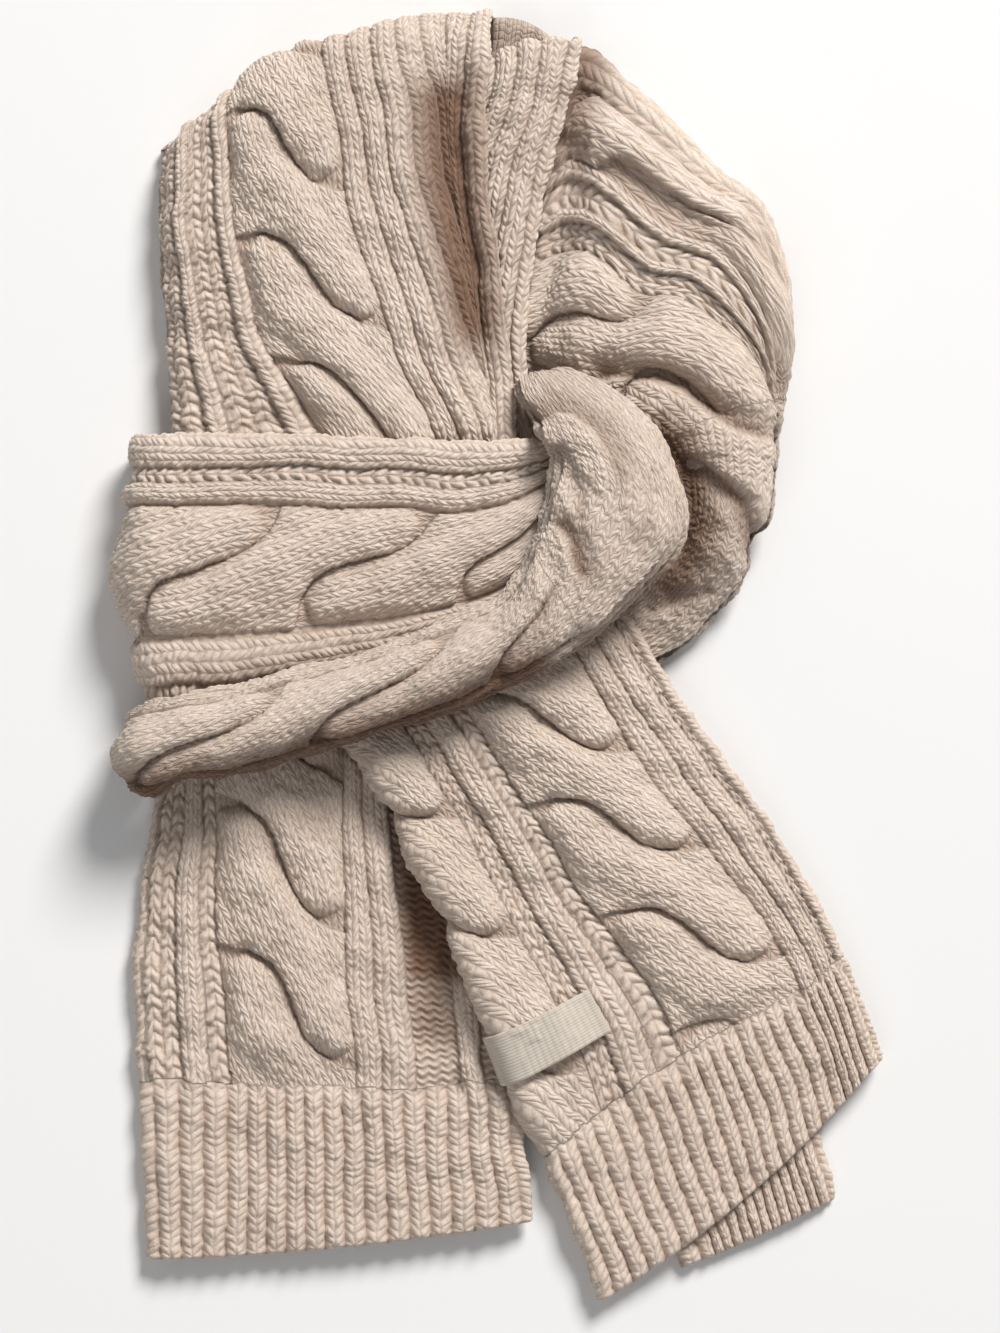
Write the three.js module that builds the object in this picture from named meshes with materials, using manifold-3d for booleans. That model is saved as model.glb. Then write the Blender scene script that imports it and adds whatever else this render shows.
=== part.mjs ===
// A cable-knit scarf, wound once round and laid flat on a table.
// Millimetres, +Z up. +Y points to the back of the neck loop and the two tails lie towards -Y.
// Each stretch of the strip that shows is a curved wall of cloth. Its table has a row for each
// section across the strip: where the section's two edges lie, how high the cloth stands there
// and which share of the section the cable takes. Cables and ribs are raised on the outer side.
import * as THREE from 'three';
import { mergeVertices } from 'three/addons/utils/BufferGeometryUtils.js';
import Module from 'manifold-3d';

// Cloth
const wall = 3;             // thickness of the knitted cloth between its ribs
const cableWidth = 56;      // a rope cable across
const cableTurn = 66;       // one crossing of the cable to the next
const cableRise = 3.4;      // height of a cable strand over the ground
const ribPitch = 11;        // one rib to the next
const ribRise = 1.7;        // height of a rib over the ground
const cablePitch = cableWidth + 3 * ribPitch;   // one cable's middle to the next
const hemPitch = 8.6;       // one rib of the hems to the next
const seam = 0.3;           // gap where a hem meets its strip
const rowStep = 10.5;       // spacing of sections in the solid
const hemStep = 24;         // spacing of sections where only straight ribs run

// Middle of the whole in the tables' own measure, under which the origin lies
const middleX = 0.05;
const middleY = 4.05;

// Covered layers
const layerHeight = 4.8;    // one covered layer of cloth
const layerRound = 1.2;     // rounding of its rim
const coreCell = 20;        // grid of the space under the cloth
const looks = 5;            // looks up at the cloth in each step of that grid
const coreGap = 0.4;        // clearance under the cloth
const coreThin = 1.5;       // a thinner space than this closes
const coreClosed = -6;      // height of the grid where it is closed, under the table
const openHeight = 60;      // more than the height of the whole

// Label
const labelThick = 0.8;
const labelLift = 1;        // clearance over the knitting under it
const labelFrom = 162;      // place along the right tail where the label starts
const labelLength = 21;     // its size along the strip
const labelReach = 38;      // how far it runs in from the folded edge
const labelTuck = 7;        // how far it goes round under the fold

// Colours of wool and label
const wool = { color: 0xd2c0ac, roughness: 0.95, metalness: 0 };
const woolDeep = { color: 0xbca892, roughness: 0.95, metalness: 0 };
const tape = { color: 0xd8cdbb, roughness: 0.8, metalness: 0 };

// A table as a list of rows with named columns.
function table(columns, ...rows) {
  return rows.map((row) => Object.fromEntries(columns.map((name, i) => [name, row[i]])));
}

const sections = ['along', 'leftX', 'leftY', 'rightX', 'rightY', 'bow', 'cableFrom', 'cableTo',
  'leftZ', 'middleZ', 'rightZ', 'leftFoot', 'rightFoot'];
const folds = ['acrossFrom', 'acrossTo', 'alongFrom', 'alongTo', 'width', 'depth'];

// The stretches. "from" and "to" are the places of the two edges on the cloth, measured across
// from the middle of the main cable, and the tucks say how far the cloth goes on under its edges.
// A stretch ends at its last row unless "ends" says where, and a hem has hem ribs all over.
const tailLeft = {
  from: -61, to: 94, leftTuck: 9, rightTuck: 3, leftRoll: 5, rightRoll: 4,
  cables: [0], ends: 131, folds: table(folds,
    [44, 50, -40, 150, 9, -1.5],
    [62, 66, -40, 150, 9, 2.6]),
  rows: table(sections,
    [-38, -142, -27, -27, -24, 0, 0.18, 0.63, 8, 8, 8, 1, 4.8],
    [-13, -150, -47, -20, -47, 0, 0.18, 0.61, 9, 9, 9, 0, 4.8],
    [19, -157, -79, -11, -79, 0, 0.21, 0.59, 9.5, 9.5, 9, 0, 4.8],
    [46, -161, -106, -4, -106, 0, 0.22, 0.58, 9.5, 10, 9, 0, 4.8],
    [73, -164, -133, 0, -133, 0, 0.24, 0.58, 9.5, 10, 9, 0, 4.8],
    [104, -163, -164, 4, -162, 0, 0.25, 0.58, 9.5, 10, 9, 0, 4.8],
    [131, -161, -191, 6, -188, 0, 0.25, 0.58, 9.5, 9.5, 9, 0, 4.8],
    [158, -159, -219, 8, -212, 0, 0.24, 0.57, 9.2, 9.2, 9, 0, 4.8],
    [190, -158, -251, 11, -236, -1, 0.23, 0.56, 9, 9, 9, 0, 4.8],
    [208, -157, -269, 13, -252, -3, 0.22, 0.55, 8.6, 8.6, 8.6, 0, 4.8]),
};

const tailRight = {
  from: -86, to: 61, leftTuck: 9, rightTuck: 3, leftRoll: 5, rightRoll: 4,
  cables: [0, -cablePitch], ends: 212, folds: table(folds,
    [-50, -46, -20, 210, 8, -1.2],
    [30, 34, 10, 210, 8, -1.5]),
  rows: table(sections,
    [-18, -73, -21, 50, 35, 0, 0.36, 0.79, 19, 22, 19, 13, 14],
    [17, -56, -45, 67, 4, 0, 0.37, 0.78, 20.5, 21, 17, 14.5, 11],
    [56, -40, -75, 85, -24, 0, 0.38, 0.77, 20, 19, 13, 14, 4.8],
    [92, -26, -103, 103, -48, 0, 0.39, 0.78, 20, 17, 11, 14, 4.8],
    [125, -14, -131, 120, -71, 0, 0.40, 0.80, 19.5, 15, 10, 14, 4.8],
    [157, -2, -160, 135, -96, 0, 0.44, 0.83, 18.5, 13.5, 9.5, 13, 4.8],
    [185, 9, -189, 146, -116, 0, 0.47, 0.85, 15, 12, 9.5, 9, 4.8],
    [212, 20, -220, 153, -132, 0, 0.48, 0.86, 11, 10.5, 9.5, 1, 4.8],
    [245, 34, -254, 163, -156, -3, 0.47, 0.86, 9.6, 9.4, 9.2, 0, 5],
    [280, 46, -288, 171, -180, -7, 0.46, 0.85, 8.8, 9, 8.8, 0, 5]),
};

const hemLeft = { ...tailLeft, hem: true, starts: tailLeft.ends + seam, ends: undefined };
const hemRight = { ...tailRight, hem: true, starts: tailRight.ends + seam, ends: undefined };

const tailUnder = {
  from: -39, to: 61, leftTuck: 0, rightTuck: 2, leftRoll: 3, rightRoll: 3,
  cables: [], hem: true, folds: [],
  rows: table(sections,
    [0, 62, -218, 134, -178, 0, 0.2, 0.7, 3.6, 3.6, 3.6, 0, 0],
    [33, 72, -246, 141, -209, 0, 0.2, 0.7, 3.6, 3.6, 3.6, 0, 0],
    [66, 83, -273, 150, -243, -1, 0.2, 0.7, 3.6, 3.6, 3.6, 0, 0]),
};

const neckLeft = {
  from: -61, to: 105, leftTuck: 8, rightTuck: 0, leftRoll: 9, rightRoll: 5,
  cables: [0], folds: table(folds,
    [58, 62, -60, 190, 9, 2.2],
    [82, 88, -60, 165, 12, -6.5]),
  rows: table(sections,
    [-58, -138, 215, -6, 284, 10, 0.25, 0.53, 2.5, 2.5, 4, 0, 0],
    [-42, -149, 228, -5, 292, 14, 0.25, 0.53, 6, 6, 8, 0, 1],
    [-26, -151, 234, -4, 294, 16, 0.25, 0.53, 13, 16, 15, 0, 8],
    [-8, -153, 225, -5, 283, 14, 0.25, 0.54, 18, 22, 22, 0, 15],
    [27, -154, 203, -7, 254, 8, 0.26, 0.58, 20, 23, 24, 0, 17],
    [61, -153, 178, -6, 220, 4, 0.27, 0.59, 20, 23, 24, 0, 17],
    [97, -151, 155, -1, 181, 0, 0.29, 0.64, 20, 22, 23, 0, 17],
    [129, -150, 133, 3, 144, 0, 0.34, 0.68, 20, 22, 23, 0, 17],
    [163, -148, 106, 6, 108, 0, 0.44, 0.76, 20, 22, 23, 0, 17],
    [186, -147, 84, 7, 86, 0, 0.46, 0.78, 18, 20, 20, 0, 14]),
};

const neckLip = {
  from: -28, to: 17, leftTuck: 0, rightTuck: 4, leftRoll: 3, rightRoll: 5,
  cables: [], folds: [],
  rows: table(sections,
    [-12, -5, 268, 32, 275, 4, 0, 0.6, 9, 10, 12, 5, 8],
    [0, -6, 271, 35, 281, 4, 0, 0.6, 12, 14, 15, 6, 9],
    [14, -8, 259, 34, 271, 3, 0, 0.6, 12, 16, 16, 6, 10],
    [42, -10, 244, 28, 250, 0, 0, 0.6, 12, 16, 16, 6, 9],
    [74, -9, 221, 20, 222, 0, 0, 0.6, 12, 16, 16, 6, 9],
    [106, -5, 190, 14, 191, 0, 0, 0.6, 12, 16, 16, 6, 9],
    [134, -1, 163, 11, 164, 0, 0, 0.6, 12, 16, 16, 6, 9],
    [166, 1, 132, 10, 133, 0, 0, 0.6, 12, 15, 15, 6, 9],
    [196, 4, 103, 21, 102, 0, 0, 0.6, 12, 14, 14, 6, 9],
    [208, 3, 92, 21, 91, 0, 0, 0.6, 12, 14, 14, 6, 9]),
};

const neckBack = {
  from: -22, to: 22, leftTuck: 0, rightTuck: 0, leftRoll: 3, rightRoll: 4,
  cables: [], folds: [],
  rows: table(sections,
    [0, -1, 268, 22, 272, 2, 0, 0.6, 3.6, 3.6, 3.6, 0, 0],
    [12, 0.4, 281, 23, 278, 3, 0, 0.6, 4.6, 4.6, 4.6, 0.5, 0.5],
    [24, 1.2, 293, 23, 284, 3, 0, 0.6, 7, 7, 6, 3, 3]),
};

const neckRight = {
  from: -34, to: 94, leftTuck: 4, rightTuck: 10, leftRoll: 6, rightRoll: 12,
  cables: [0], folds: table(folds,
    [36, 36, 0, 60, 9, -3],
    [74, 66, 0, 80, 10, 3]),
  rows: table(sections,
    [0, 8, 134, 27, 266, 0, 0.04, 0.36, 4, 4, 4, 0, 0],
    [12, 20, 130, 39, 278.5, 0, 0.04, 0.38, 6, 7, 6, 0, 0],
    [33, 34, 122, 64, 256, 6, 0.06, 0.46, 14, 19, 16, 0, 0],
    [52, 45, 115, 98, 224, 8, 0.07, 0.46, 18, 25, 19, 0, 0],
    [70, 51, 109, 120, 203, 9, 0.08, 0.54, 20, 29, 21, 0, 0],
    [86, 56, 103, 129, 168, 6, 0.09, 0.66, 21, 32, 24, 0, 0],
    [99, 60, 97, 125, 137, 3, 0.10, 0.82, 21, 34, 26, 0, 0],
    [130, 66, 88, 120, 103, 2, 0.10, 0.93, 21, 35, 28, 0, 0],
    [160, 71, 79, 118, 82, 2, 0.08, 0.94, 20, 33, 27, 0, 0],
    [180, 74, 68, 114, 60, 3, 0.06, 0.94, 16, 30, 25, 0, 0],
    [200, 72, 54, 107, 46, 4, 0.04, 0.94, 12, 26, 22, 0, 0],
    [222, 62, 40, 98, 32, 4, 0.04, 0.94, 8, 21, 18, 0, 0],
    [246, 52, 30, 85, 18, 3, 0.04, 0.94, 4, 10, 12, 0, 0],
    [268, 42, 25, 66, 4, 0, 0.04, 0.94, 3, 5, 6, 0, 0]),
};

const wrapBand = {
  from: -50, to: 61, leftTuck: 0, rightTuck: 4, leftRoll: 3, rightRoll: 4,
  cables: [0], folds: [],
  rows: table(sections,
    [-54, -146, -24, -150, 93, 3, 0.28, 0.74, 3, 3, 3, 0, 0],
    [-40, -155, -22, -160, 97, 5, 0.28, 0.74, 6, 6, 6, 0, 0],
    [-22, -158, -20, -164, 101, 7, 0.28, 0.74, 16, 17, 17, 10, 11],
    [-4, -150, -20, -157, 102, 6, 0.28, 0.74, 27, 30, 30, 21, 24],
    [22, -133, -20, -135, 102, 3, 0.28, 0.74, 29, 32.5, 32.5, 23, 27],
    [50, -108, -15, -108, 102, 0, 0.27, 0.73, 29, 32.5, 33, 23, 27],
    [83, -75, -8, -76, 101, 0, 0.25, 0.715, 29, 32.5, 33, 23, 27],
    [115, -45, 1, -45, 100, 0, 0.23, 0.69, 29, 32.5, 33, 23, 27],
    [144, -17, 12, -18, 99, 0, 0.20, 0.64, 29, 32.5, 33, 23, 27],
    [168, 8, 29, 5, 99, 0, 0.17, 0.62, 29, 32, 33, 23, 27],
    [186, 21, 54, 23, 99, 0, 0.15, 0.62, 29, 31, 32, 23, 26],
    [199, 33, 74, 35, 97, 0, 0.15, 0.62, 28, 28, 28, 23, 22]),
};

const wrapRoll = {
  from: -46, to: 46, leftTuck: 16, rightTuck: 26, leftRoll: 30, rightRoll: 30,
  cables: [0], folds: [],
  rows: table(sections,
    [-44, -158, -47, -158, -30, 2, 0.2, 0.8, 10, 10, 10, 3, 3],
    [-30, -163, -51, -163, -28, 2, 0.2, 0.8, 15, 15, 15, 4, 5],
    [-14, -164, -54, -165, -24, 3, 0.2, 0.8, 25, 27, 25, 10, 14],
    [2, -157, -57, -157, -19, 3, 0.2, 0.8, 38, 40, 38, 13, 20],
    [20, -143, -49, -143, -16, 0, 0.2, 0.8, 42, 44, 42, 14, 29],
    [40, -121, -47, -121, -12, 0, 0.2, 0.8, 44, 46, 44, 14, 27.7],
    [77, -86, -38, -89, -3, 0, 0.2, 0.8, 45, 47, 45, 15, 27.7],
    [109, -54, -28, -54, 5, 0, 0.2, 0.8, 45, 47, 45, 25, 27.7],
    [145, -18, -17, -26, 17, 0, 0.2, 0.8, 46, 48, 46, 26, 27.7],
    [172, 9, -4, 0, 29, 0, 0.2, 0.8, 47, 49, 47, 26, 27.7],
    [206, 36, 11, 15, 51, 0, 0.2, 0.8, 49, 51, 49, 26, 27.7],
    [240, 63, 35, 22, 72, 0, 0.2, 0.8, 51, 53, 51, 26, 27.7],
    [262, 80, 55, 25, 89, 0, 0.2, 0.8, 51, 54, 51, 27, 27.7],
    [280, 80, 75, 23, 99, 0, 0.2, 0.8, 50, 53, 50, 32, 27.7],
    [298, 72, 97, 16, 106, 0, 0.2, 0.8, 47, 50, 47, 31, 28],
    [316, 60, 113, 12, 112, 0, 0.2, 0.8, 41, 44, 41, 28, 22],
    [330, 42, 125, 9, 121, 0, 0.2, 0.8, 32, 34, 32, 23, 20],
    [340, 28, 130, 9, 126, 0, 0.2, 0.8, 25, 25, 25, 19, 18]),
};

// A table's values at a place between its rows: a smooth curve through every row.
function rowAt(rows, along) {
  let i = 0;
  while (i < rows.length - 2 && along > rows[i + 1].along) {
    i += 1;
  }
  const near = [i - 1, i, i + 1, i + 2].map((k) => rows[THREE.MathUtils.clamp(k, 0, rows.length - 1)]);
  const span = near[2].along - near[1].along;
  const t = (along - near[1].along) / span;
  const values = {};
  for (const name of Object.keys(near[0])) {
    const slopes = [0, 1].map((k) => (near[k + 2][name] - near[k][name])
      / (near[k + 2].along - near[k].along) * span);
    const [a, b] = [near[1][name], near[2][name]];
    values[name] = a * (1 + 2 * t) * (1 - t) ** 2 + slopes[0] * t * (1 - t) ** 2
      + b * t * t * (3 - 2 * t) + slopes[1] * t * t * (t - 1);
  }
  return values;
}

// Share of a section's cloth at a place across the strip: the cable keeps its measured place.
function shareAt(stretch, row, across) {
  const half = cableWidth / 2;
  if (across < -half && stretch.from < -half) {
    return row.cableFrom * (across - stretch.from) / (-half - stretch.from);
  }
  if (across > half && stretch.to > half) {
    return row.cableTo + (1 - row.cableTo) * (across - half) / (stretch.to - half);
  }
  const start = Math.max(stretch.from, -half);
  const end = Math.min(stretch.to, half);
  const low = stretch.from < -half ? row.cableFrom : 0;
  const high = stretch.to > half ? row.cableTo : 1;
  return low + (high - low) * (across - start) / (end - start);
}

// Length of cloth from the top of a rolled edge to its outermost point.
function quarterRoll(radius, drop) {
  return Math.PI / 2 * Math.hypot(radius, drop / 2) / Math.SQRT2;
}

// A rolled edge is a half ellipse from the top of the cloth to its foot. Given the length of
// cloth from the outermost point, this is how far in and how far down the cloth is.
function edgeRoll(length, radius, drop) {
  const quarter = quarterRoll(radius, drop);
  const turn = Math.PI / 2 * (1 - length / quarter);
  if (turn > Math.PI) {
    return { inward: radius - length - quarter, down: drop };
  }
  return { inward: radius * (1 - Math.sin(turn)), down: drop * (1 - Math.cos(turn)) / 2 };
}

// A point of the plain outer surface of a stretch.
function clothPoint(stretch, across, along) {
  const row = rowAt(stretch.rows, along);
  const left = new THREE.Vector2(row.leftX, row.leftY);
  const right = new THREE.Vector2(row.rightX, row.rightY);
  const width = left.distanceTo(right);
  const radii = [Math.min(stretch.leftRoll, width / 2), Math.min(stretch.rightRoll, width / 2)];
  const drops = [row.leftZ - row.leftFoot, row.rightZ - row.rightFoot];
  const quarters = [quarterRoll(radii[0], drops[0]), quarterRoll(radii[1], drops[1])];
  const cloth = width - radii[0] - radii[1] + quarters[0] + quarters[1];
  const length = cloth * shareAt(stretch, row, across);
  let inward = length - quarters[0] + radii[0];
  let down = 0;
  if (length < quarters[0]) {
    ({ inward, down } = edgeRoll(length, radii[0], drops[0]));
  } else if (length > cloth - quarters[1]) {
    const edge = edgeRoll(cloth - length, radii[1], drops[1]);
    inward = width - edge.inward;
    down = edge.down;
  }
  const share = inward / width;
  const middle = 4 * share * (1 - share);
  let height = row.leftZ * (1 - share) + row.rightZ * share
    + middle * (row.middleZ - (row.leftZ + row.rightZ) / 2) - down;
  for (const fold of stretch.folds) {
    const t = THREE.MathUtils.clamp((along - fold.alongFrom) / (fold.alongTo - fold.alongFrom), 0, 1);
    const centre = THREE.MathUtils.lerp(fold.acrossFrom, fold.acrossTo, t);
    const aside = (across - centre) / fold.width;
    height += fold.depth * Math.exp(-(aside ** 2)) * Math.sqrt(Math.sin(Math.PI * t));
  }
  const over = right.clone().sub(left).divideScalar(width);
  const back = new THREE.Vector2(-over.y, over.x);
  const place = left.clone().addScaledVector(over, inward).addScaledVector(back, row.bow * middle);
  return new THREE.Vector3(place.x, place.y, height);
}

// The outward direction there, from two short steps on the cloth.
function clothNormal(stretch, across, along) {
  const step = 0.5;
  const over = clothPoint(stretch, across + step, along).sub(clothPoint(stretch, across - step, along));
  const onward = clothPoint(stretch, across, along + step).sub(clothPoint(stretch, across, along - step));
  return onward.cross(over).normalize();
}

// A rope cable: each strand starts at one side, crosses over in an S and dips under the next.
function cableHeight(side, along) {
  let height = 0;
  const first = Math.floor(along / cableTurn) - 1;
  for (let k = first; k <= first + 3; k += 1) {
    const t = (along - k * cableTurn) / (0.95 * cableTurn);
    const middle = 0.47 * Math.sin(Math.PI / 2 * THREE.MathUtils.clamp(1.5 * t, -1, 1));
    const aside = (side - middle) / 0.53;
    if (Math.abs(t) < 1 && Math.abs(aside) < 1) {
      height = Math.max(height, Math.sqrt(1 - aside * aside) * (1 - t ** 4));
    }
  }
  return height;
}

// Height of the knitted pattern over the plain surface. It lies flat where the cloth faces down.
function patternHeight(stretch, across, along, normal) {
  const pressed = THREE.MathUtils.clamp(1 + normal.z / 0.5, 0, 1);
  if (stretch.hem) {
    return ribRise * (0.5 + 0.5 * Math.cos(2 * Math.PI * across / hemPitch)) * pressed;
  }
  for (const middle of stretch.cables) {
    const side = (across - middle) / (cableWidth / 2);
    if (Math.abs(side) < 1) {
      return cableRise * cableHeight(side, along) * pressed;
    }
  }
  const beyond = Math.abs(across) - cableWidth / 2;
  return ribRise * (0.5 - 0.5 * Math.cos(2 * Math.PI * beyond / ribPitch)) * pressed;
}

// Places for the points: peaks and valleys of the ribs across, and sections along.
function acrossPlaces(stretch) {
  const places = [stretch.from - stretch.leftTuck];
  const half = cableWidth / 2;
  for (let k = -30; k <= 30; k += 1) {
    const beyond = Math.max(Math.abs(k) - 5, 0) * ribPitch / 2;
    const inBody = Math.sign(k) * (Math.min(Math.abs(k), 5) * half / 5 + beyond);
    const place = stretch.hem ? k * hemPitch / 2 : inBody;
    if (place > places[0] + 2 && place < stretch.to + stretch.rightTuck - 2) {
      places.push(place);
    }
  }
  places.push(stretch.to + stretch.rightTuck);
  return places;
}

function alongPlaces(stretch) {
  const start = stretch.starts ?? stretch.rows[0].along;
  const end = stretch.ends ?? stretch.rows.at(-1).along;
  const count = Math.round((end - start) / (stretch.hem ? hemStep : rowStep));
  return Array.from({ length: count + 1 }, (_, i) => start + (end - start) * i / count);
}

// Every second place, with both ends kept.
function sparser(places) {
  return places.filter((place, i) => i % 2 === 0 || i === places.length - 1);
}

// One face of a wall: a grid of points with the order of the points on its border.
function clothFace(stretch, acrossList, alongList, offset) {
  const points = [];
  const triangles = [];
  const columns = acrossList.length;
  for (const along of alongList) {
    for (const across of acrossList) {
      const normal = clothNormal(stretch, across, along);
      const point = clothPoint(stretch, across, along).addScaledVector(normal, offset(across, along, normal));
      point.z = Math.max(point.z, 0);
      points.push(point);
    }
  }
  for (let i = 0; i + 1 < alongList.length; i += 1) {
    for (let j = 0; j + 1 < columns; j += 1) {
      const corner = i * columns + j;
      const opposite = corner + columns + 1;
      triangles.push([corner, corner + columns, opposite], [corner, opposite, corner + 1]);
    }
  }
  const share = (list, k) => (list[k] - list[0]) / (list.at(-1) - list[0]);
  const lastRow = alongList.length - 1;
  const lastColumn = columns - 1;
  const border = [];
  for (let j = 0; j < lastColumn; j += 1) {
    border.push({ index: j, round: share(acrossList, j) });
  }
  for (let i = 0; i < lastRow; i += 1) {
    border.push({ index: i * columns + lastColumn, round: 1 + share(alongList, i) });
  }
  for (let j = lastColumn; j > 0; j -= 1) {
    border.push({ index: lastRow * columns + j, round: 3 - share(acrossList, j) });
  }
  for (let i = lastRow; i > 0; i -= 1) {
    border.push({ index: i * columns, round: 4 - share(alongList, i) });
  }
  return { points, triangles, border };
}

// Closes the rim between the outer and the inner face, whose borders differ in their points.
function rimTriangles(outer, inner, shift) {
  const triangles = [];
  const lap = (border, k) => border[k % border.length].round + (k >= border.length ? 4 : 0);
  let i = 0;
  let j = 0;
  while (i < outer.length || j < inner.length) {
    const a = outer[i % outer.length].index;
    const b = inner[j % inner.length].index + shift;
    const outerNext = lap(outer, i + 1);
    const innerNext = lap(inner, j + 1);
    if (j >= inner.length || (i < outer.length && outerNext <= innerNext)) {
      triangles.push([a, outer[(i + 1) % outer.length].index, b]);
      i += 1;
    } else {
      triangles.push([a, inner[(j + 1) % inner.length].index + shift, b]);
      j += 1;
    }
  }
  return triangles;
}

function closedGeometry(points, triangles) {
  const geometry = new THREE.BufferGeometry();
  const flat = points.flatMap((point) => [point.x, point.y, point.z]);
  geometry.setAttribute('position', new THREE.Float32BufferAttribute(flat, 3));
  geometry.setIndex(triangles.flat());
  geometry.computeVertexNormals();
  return geometry;
}

// A wall of cloth: the knitted face outside, a plain face inside, and the rim between them.
function clothGeometry(stretch) {
  const acrossList = acrossPlaces(stretch);
  const alongList = alongPlaces(stretch);
  const outer = clothFace(stretch, acrossList, alongList,
    (across, along, normal) => patternHeight(stretch, across, along, normal));
  const inner = clothFace(stretch, sparser(acrossList), sparser(alongList), () => -wall);
  const shift = outer.points.length;
  const triangles = [
    ...outer.triangles,
    ...inner.triangles.map(([a, b, c]) => [a + shift, c + shift, b + shift]),
    ...rimTriangles(outer.border, inner.border, shift),
  ];
  return closedGeometry([...outer.points, ...inner.points], triangles);
}

// The label is made from the tail's own points, moved out past its pattern.
function labelGeometry() {
  const [start, end] = [tailRight.from - labelTuck, tailRight.from + labelReach];
  const acrossList = [start, ...acrossPlaces(tailRight).filter((a) => a > start + 1 && a < end - 1), end];
  const alongList = [0, 0.25, 0.5, 0.75, 1].map((share) => labelFrom + labelLength * share);
  const lift = (...place) => patternHeight(tailRight, ...place) + labelLift;
  const outer = clothFace(tailRight, acrossList, alongList, (...place) => lift(...place) + labelThick);
  const inner = clothFace(tailRight, acrossList, alongList, lift);
  const shift = outer.points.length;
  return closedGeometry([...outer.points, ...inner.points], [
    ...outer.triangles,
    ...inner.triangles.map(([a, b, c]) => [a + shift, c + shift, b + shift]),
    ...rimTriangles(outer.border, inner.border, shift),
  ]);
}

const scarf = new THREE.Group();

function addPiece(name, geometry, finish) {
  const mesh = new THREE.Mesh(geometry, new THREE.MeshStandardMaterial(finish));
  mesh.name = name;
  scarf.add(mesh);
  return mesh;
}

const stretches = {
  tail_left: tailLeft,
  hem_left: hemLeft,
  tail_right: tailRight,
  hem_right: hemRight,
  tail_under: tailUnder,
  neck_left: neckLeft,
  neck_lip: neckLip,
  neck_back: neckBack,
  neck_right: neckRight,
  wrap_band: wrapBand,
  wrap_roll: wrapRoll,
};

for (const [name, stretch] of Object.entries(stretches)) {
  addPiece(name, clothGeometry(stretch), name === 'neck_back' ? woolDeep : wool);
}
addPiece('label', labelGeometry(), tape);

// The outline of what lies under a stretch: its two edges, drawn in from the rolled folds.
function footprint(stretch, fromRow, toRow, leftInset, rightInset) {
  const lefts = [];
  const rights = [];
  for (const row of stretch.rows.slice(fromRow, toRow)) {
    const left = new THREE.Vector2(row.leftX, row.leftY);
    const right = new THREE.Vector2(row.rightX, row.rightY);
    const over = right.clone().sub(left).normalize();
    lefts.push(left.addScaledVector(over, leftInset));
    rights.unshift(right.addScaledVector(over, -rightInset));
  }
  return new THREE.Shape([...lefts, ...rights]);
}

// One covered layer: a slab with a rounded rim.
function slab(shape, bottom, thick, round) {
  const geometry = new THREE.ExtrudeGeometry(shape, {
    depth: thick - 2 * round,
    bevelEnabled: round > 0,
    bevelThickness: round,
    bevelSize: round,
    bevelOffset: -round,
    bevelSegments: 1,
    steps: 1,
  });
  return geometry.translate(0, 0, bottom + round);
}

const wasm = await Module();
wasm.setup();

function toSolid(geometry) {
  const bare = geometry.clone();
  bare.deleteAttribute('normal');
  bare.deleteAttribute('uv');
  const merged = mergeVertices(bare, 1e-3);
  return new wasm.Manifold(new wasm.Mesh({
    numProp: 3,
    vertProperties: new Float32Array(merged.attributes.position.array),
    triVerts: new Uint32Array(merged.index.array),
  }));
}

function toGeometry(solid) {
  const { vertProperties, triVerts } = solid.getMesh();
  const geometry = new THREE.BufferGeometry();
  geometry.setAttribute('position', new THREE.BufferAttribute(new Float32Array(vertProperties), 3));
  geometry.setIndex(new THREE.BufferAttribute(new Uint32Array(triVerts), 1));
  geometry.computeVertexNormals();
  return geometry;
}

// Height of the lowest cloth over a grid of places, found by looking up from the table.
function clearHeights(cloths, box, cell) {
  const columns = Math.ceil((box.max.x - box.min.x) / cell) + 1;
  const rows = Math.ceil((box.max.y - box.min.y) / cell) + 1;
  const up = new THREE.Raycaster();
  const heights = [];
  for (let i = 0; i < rows; i += 1) {
    for (let j = 0; j < columns; j += 1) {
      up.set(new THREE.Vector3(box.min.x + j * cell, box.min.y + i * cell, -50), new THREE.Vector3(0, 0, 1));
      const hits = up.intersectObjects(cloths, false);
      heights.push(hits.length > 0 ? hits[0].point.z : openHeight);
    }
  }
  return { heights, columns, rows, at: (i, j) => heights[i * columns + j] };
}

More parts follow.
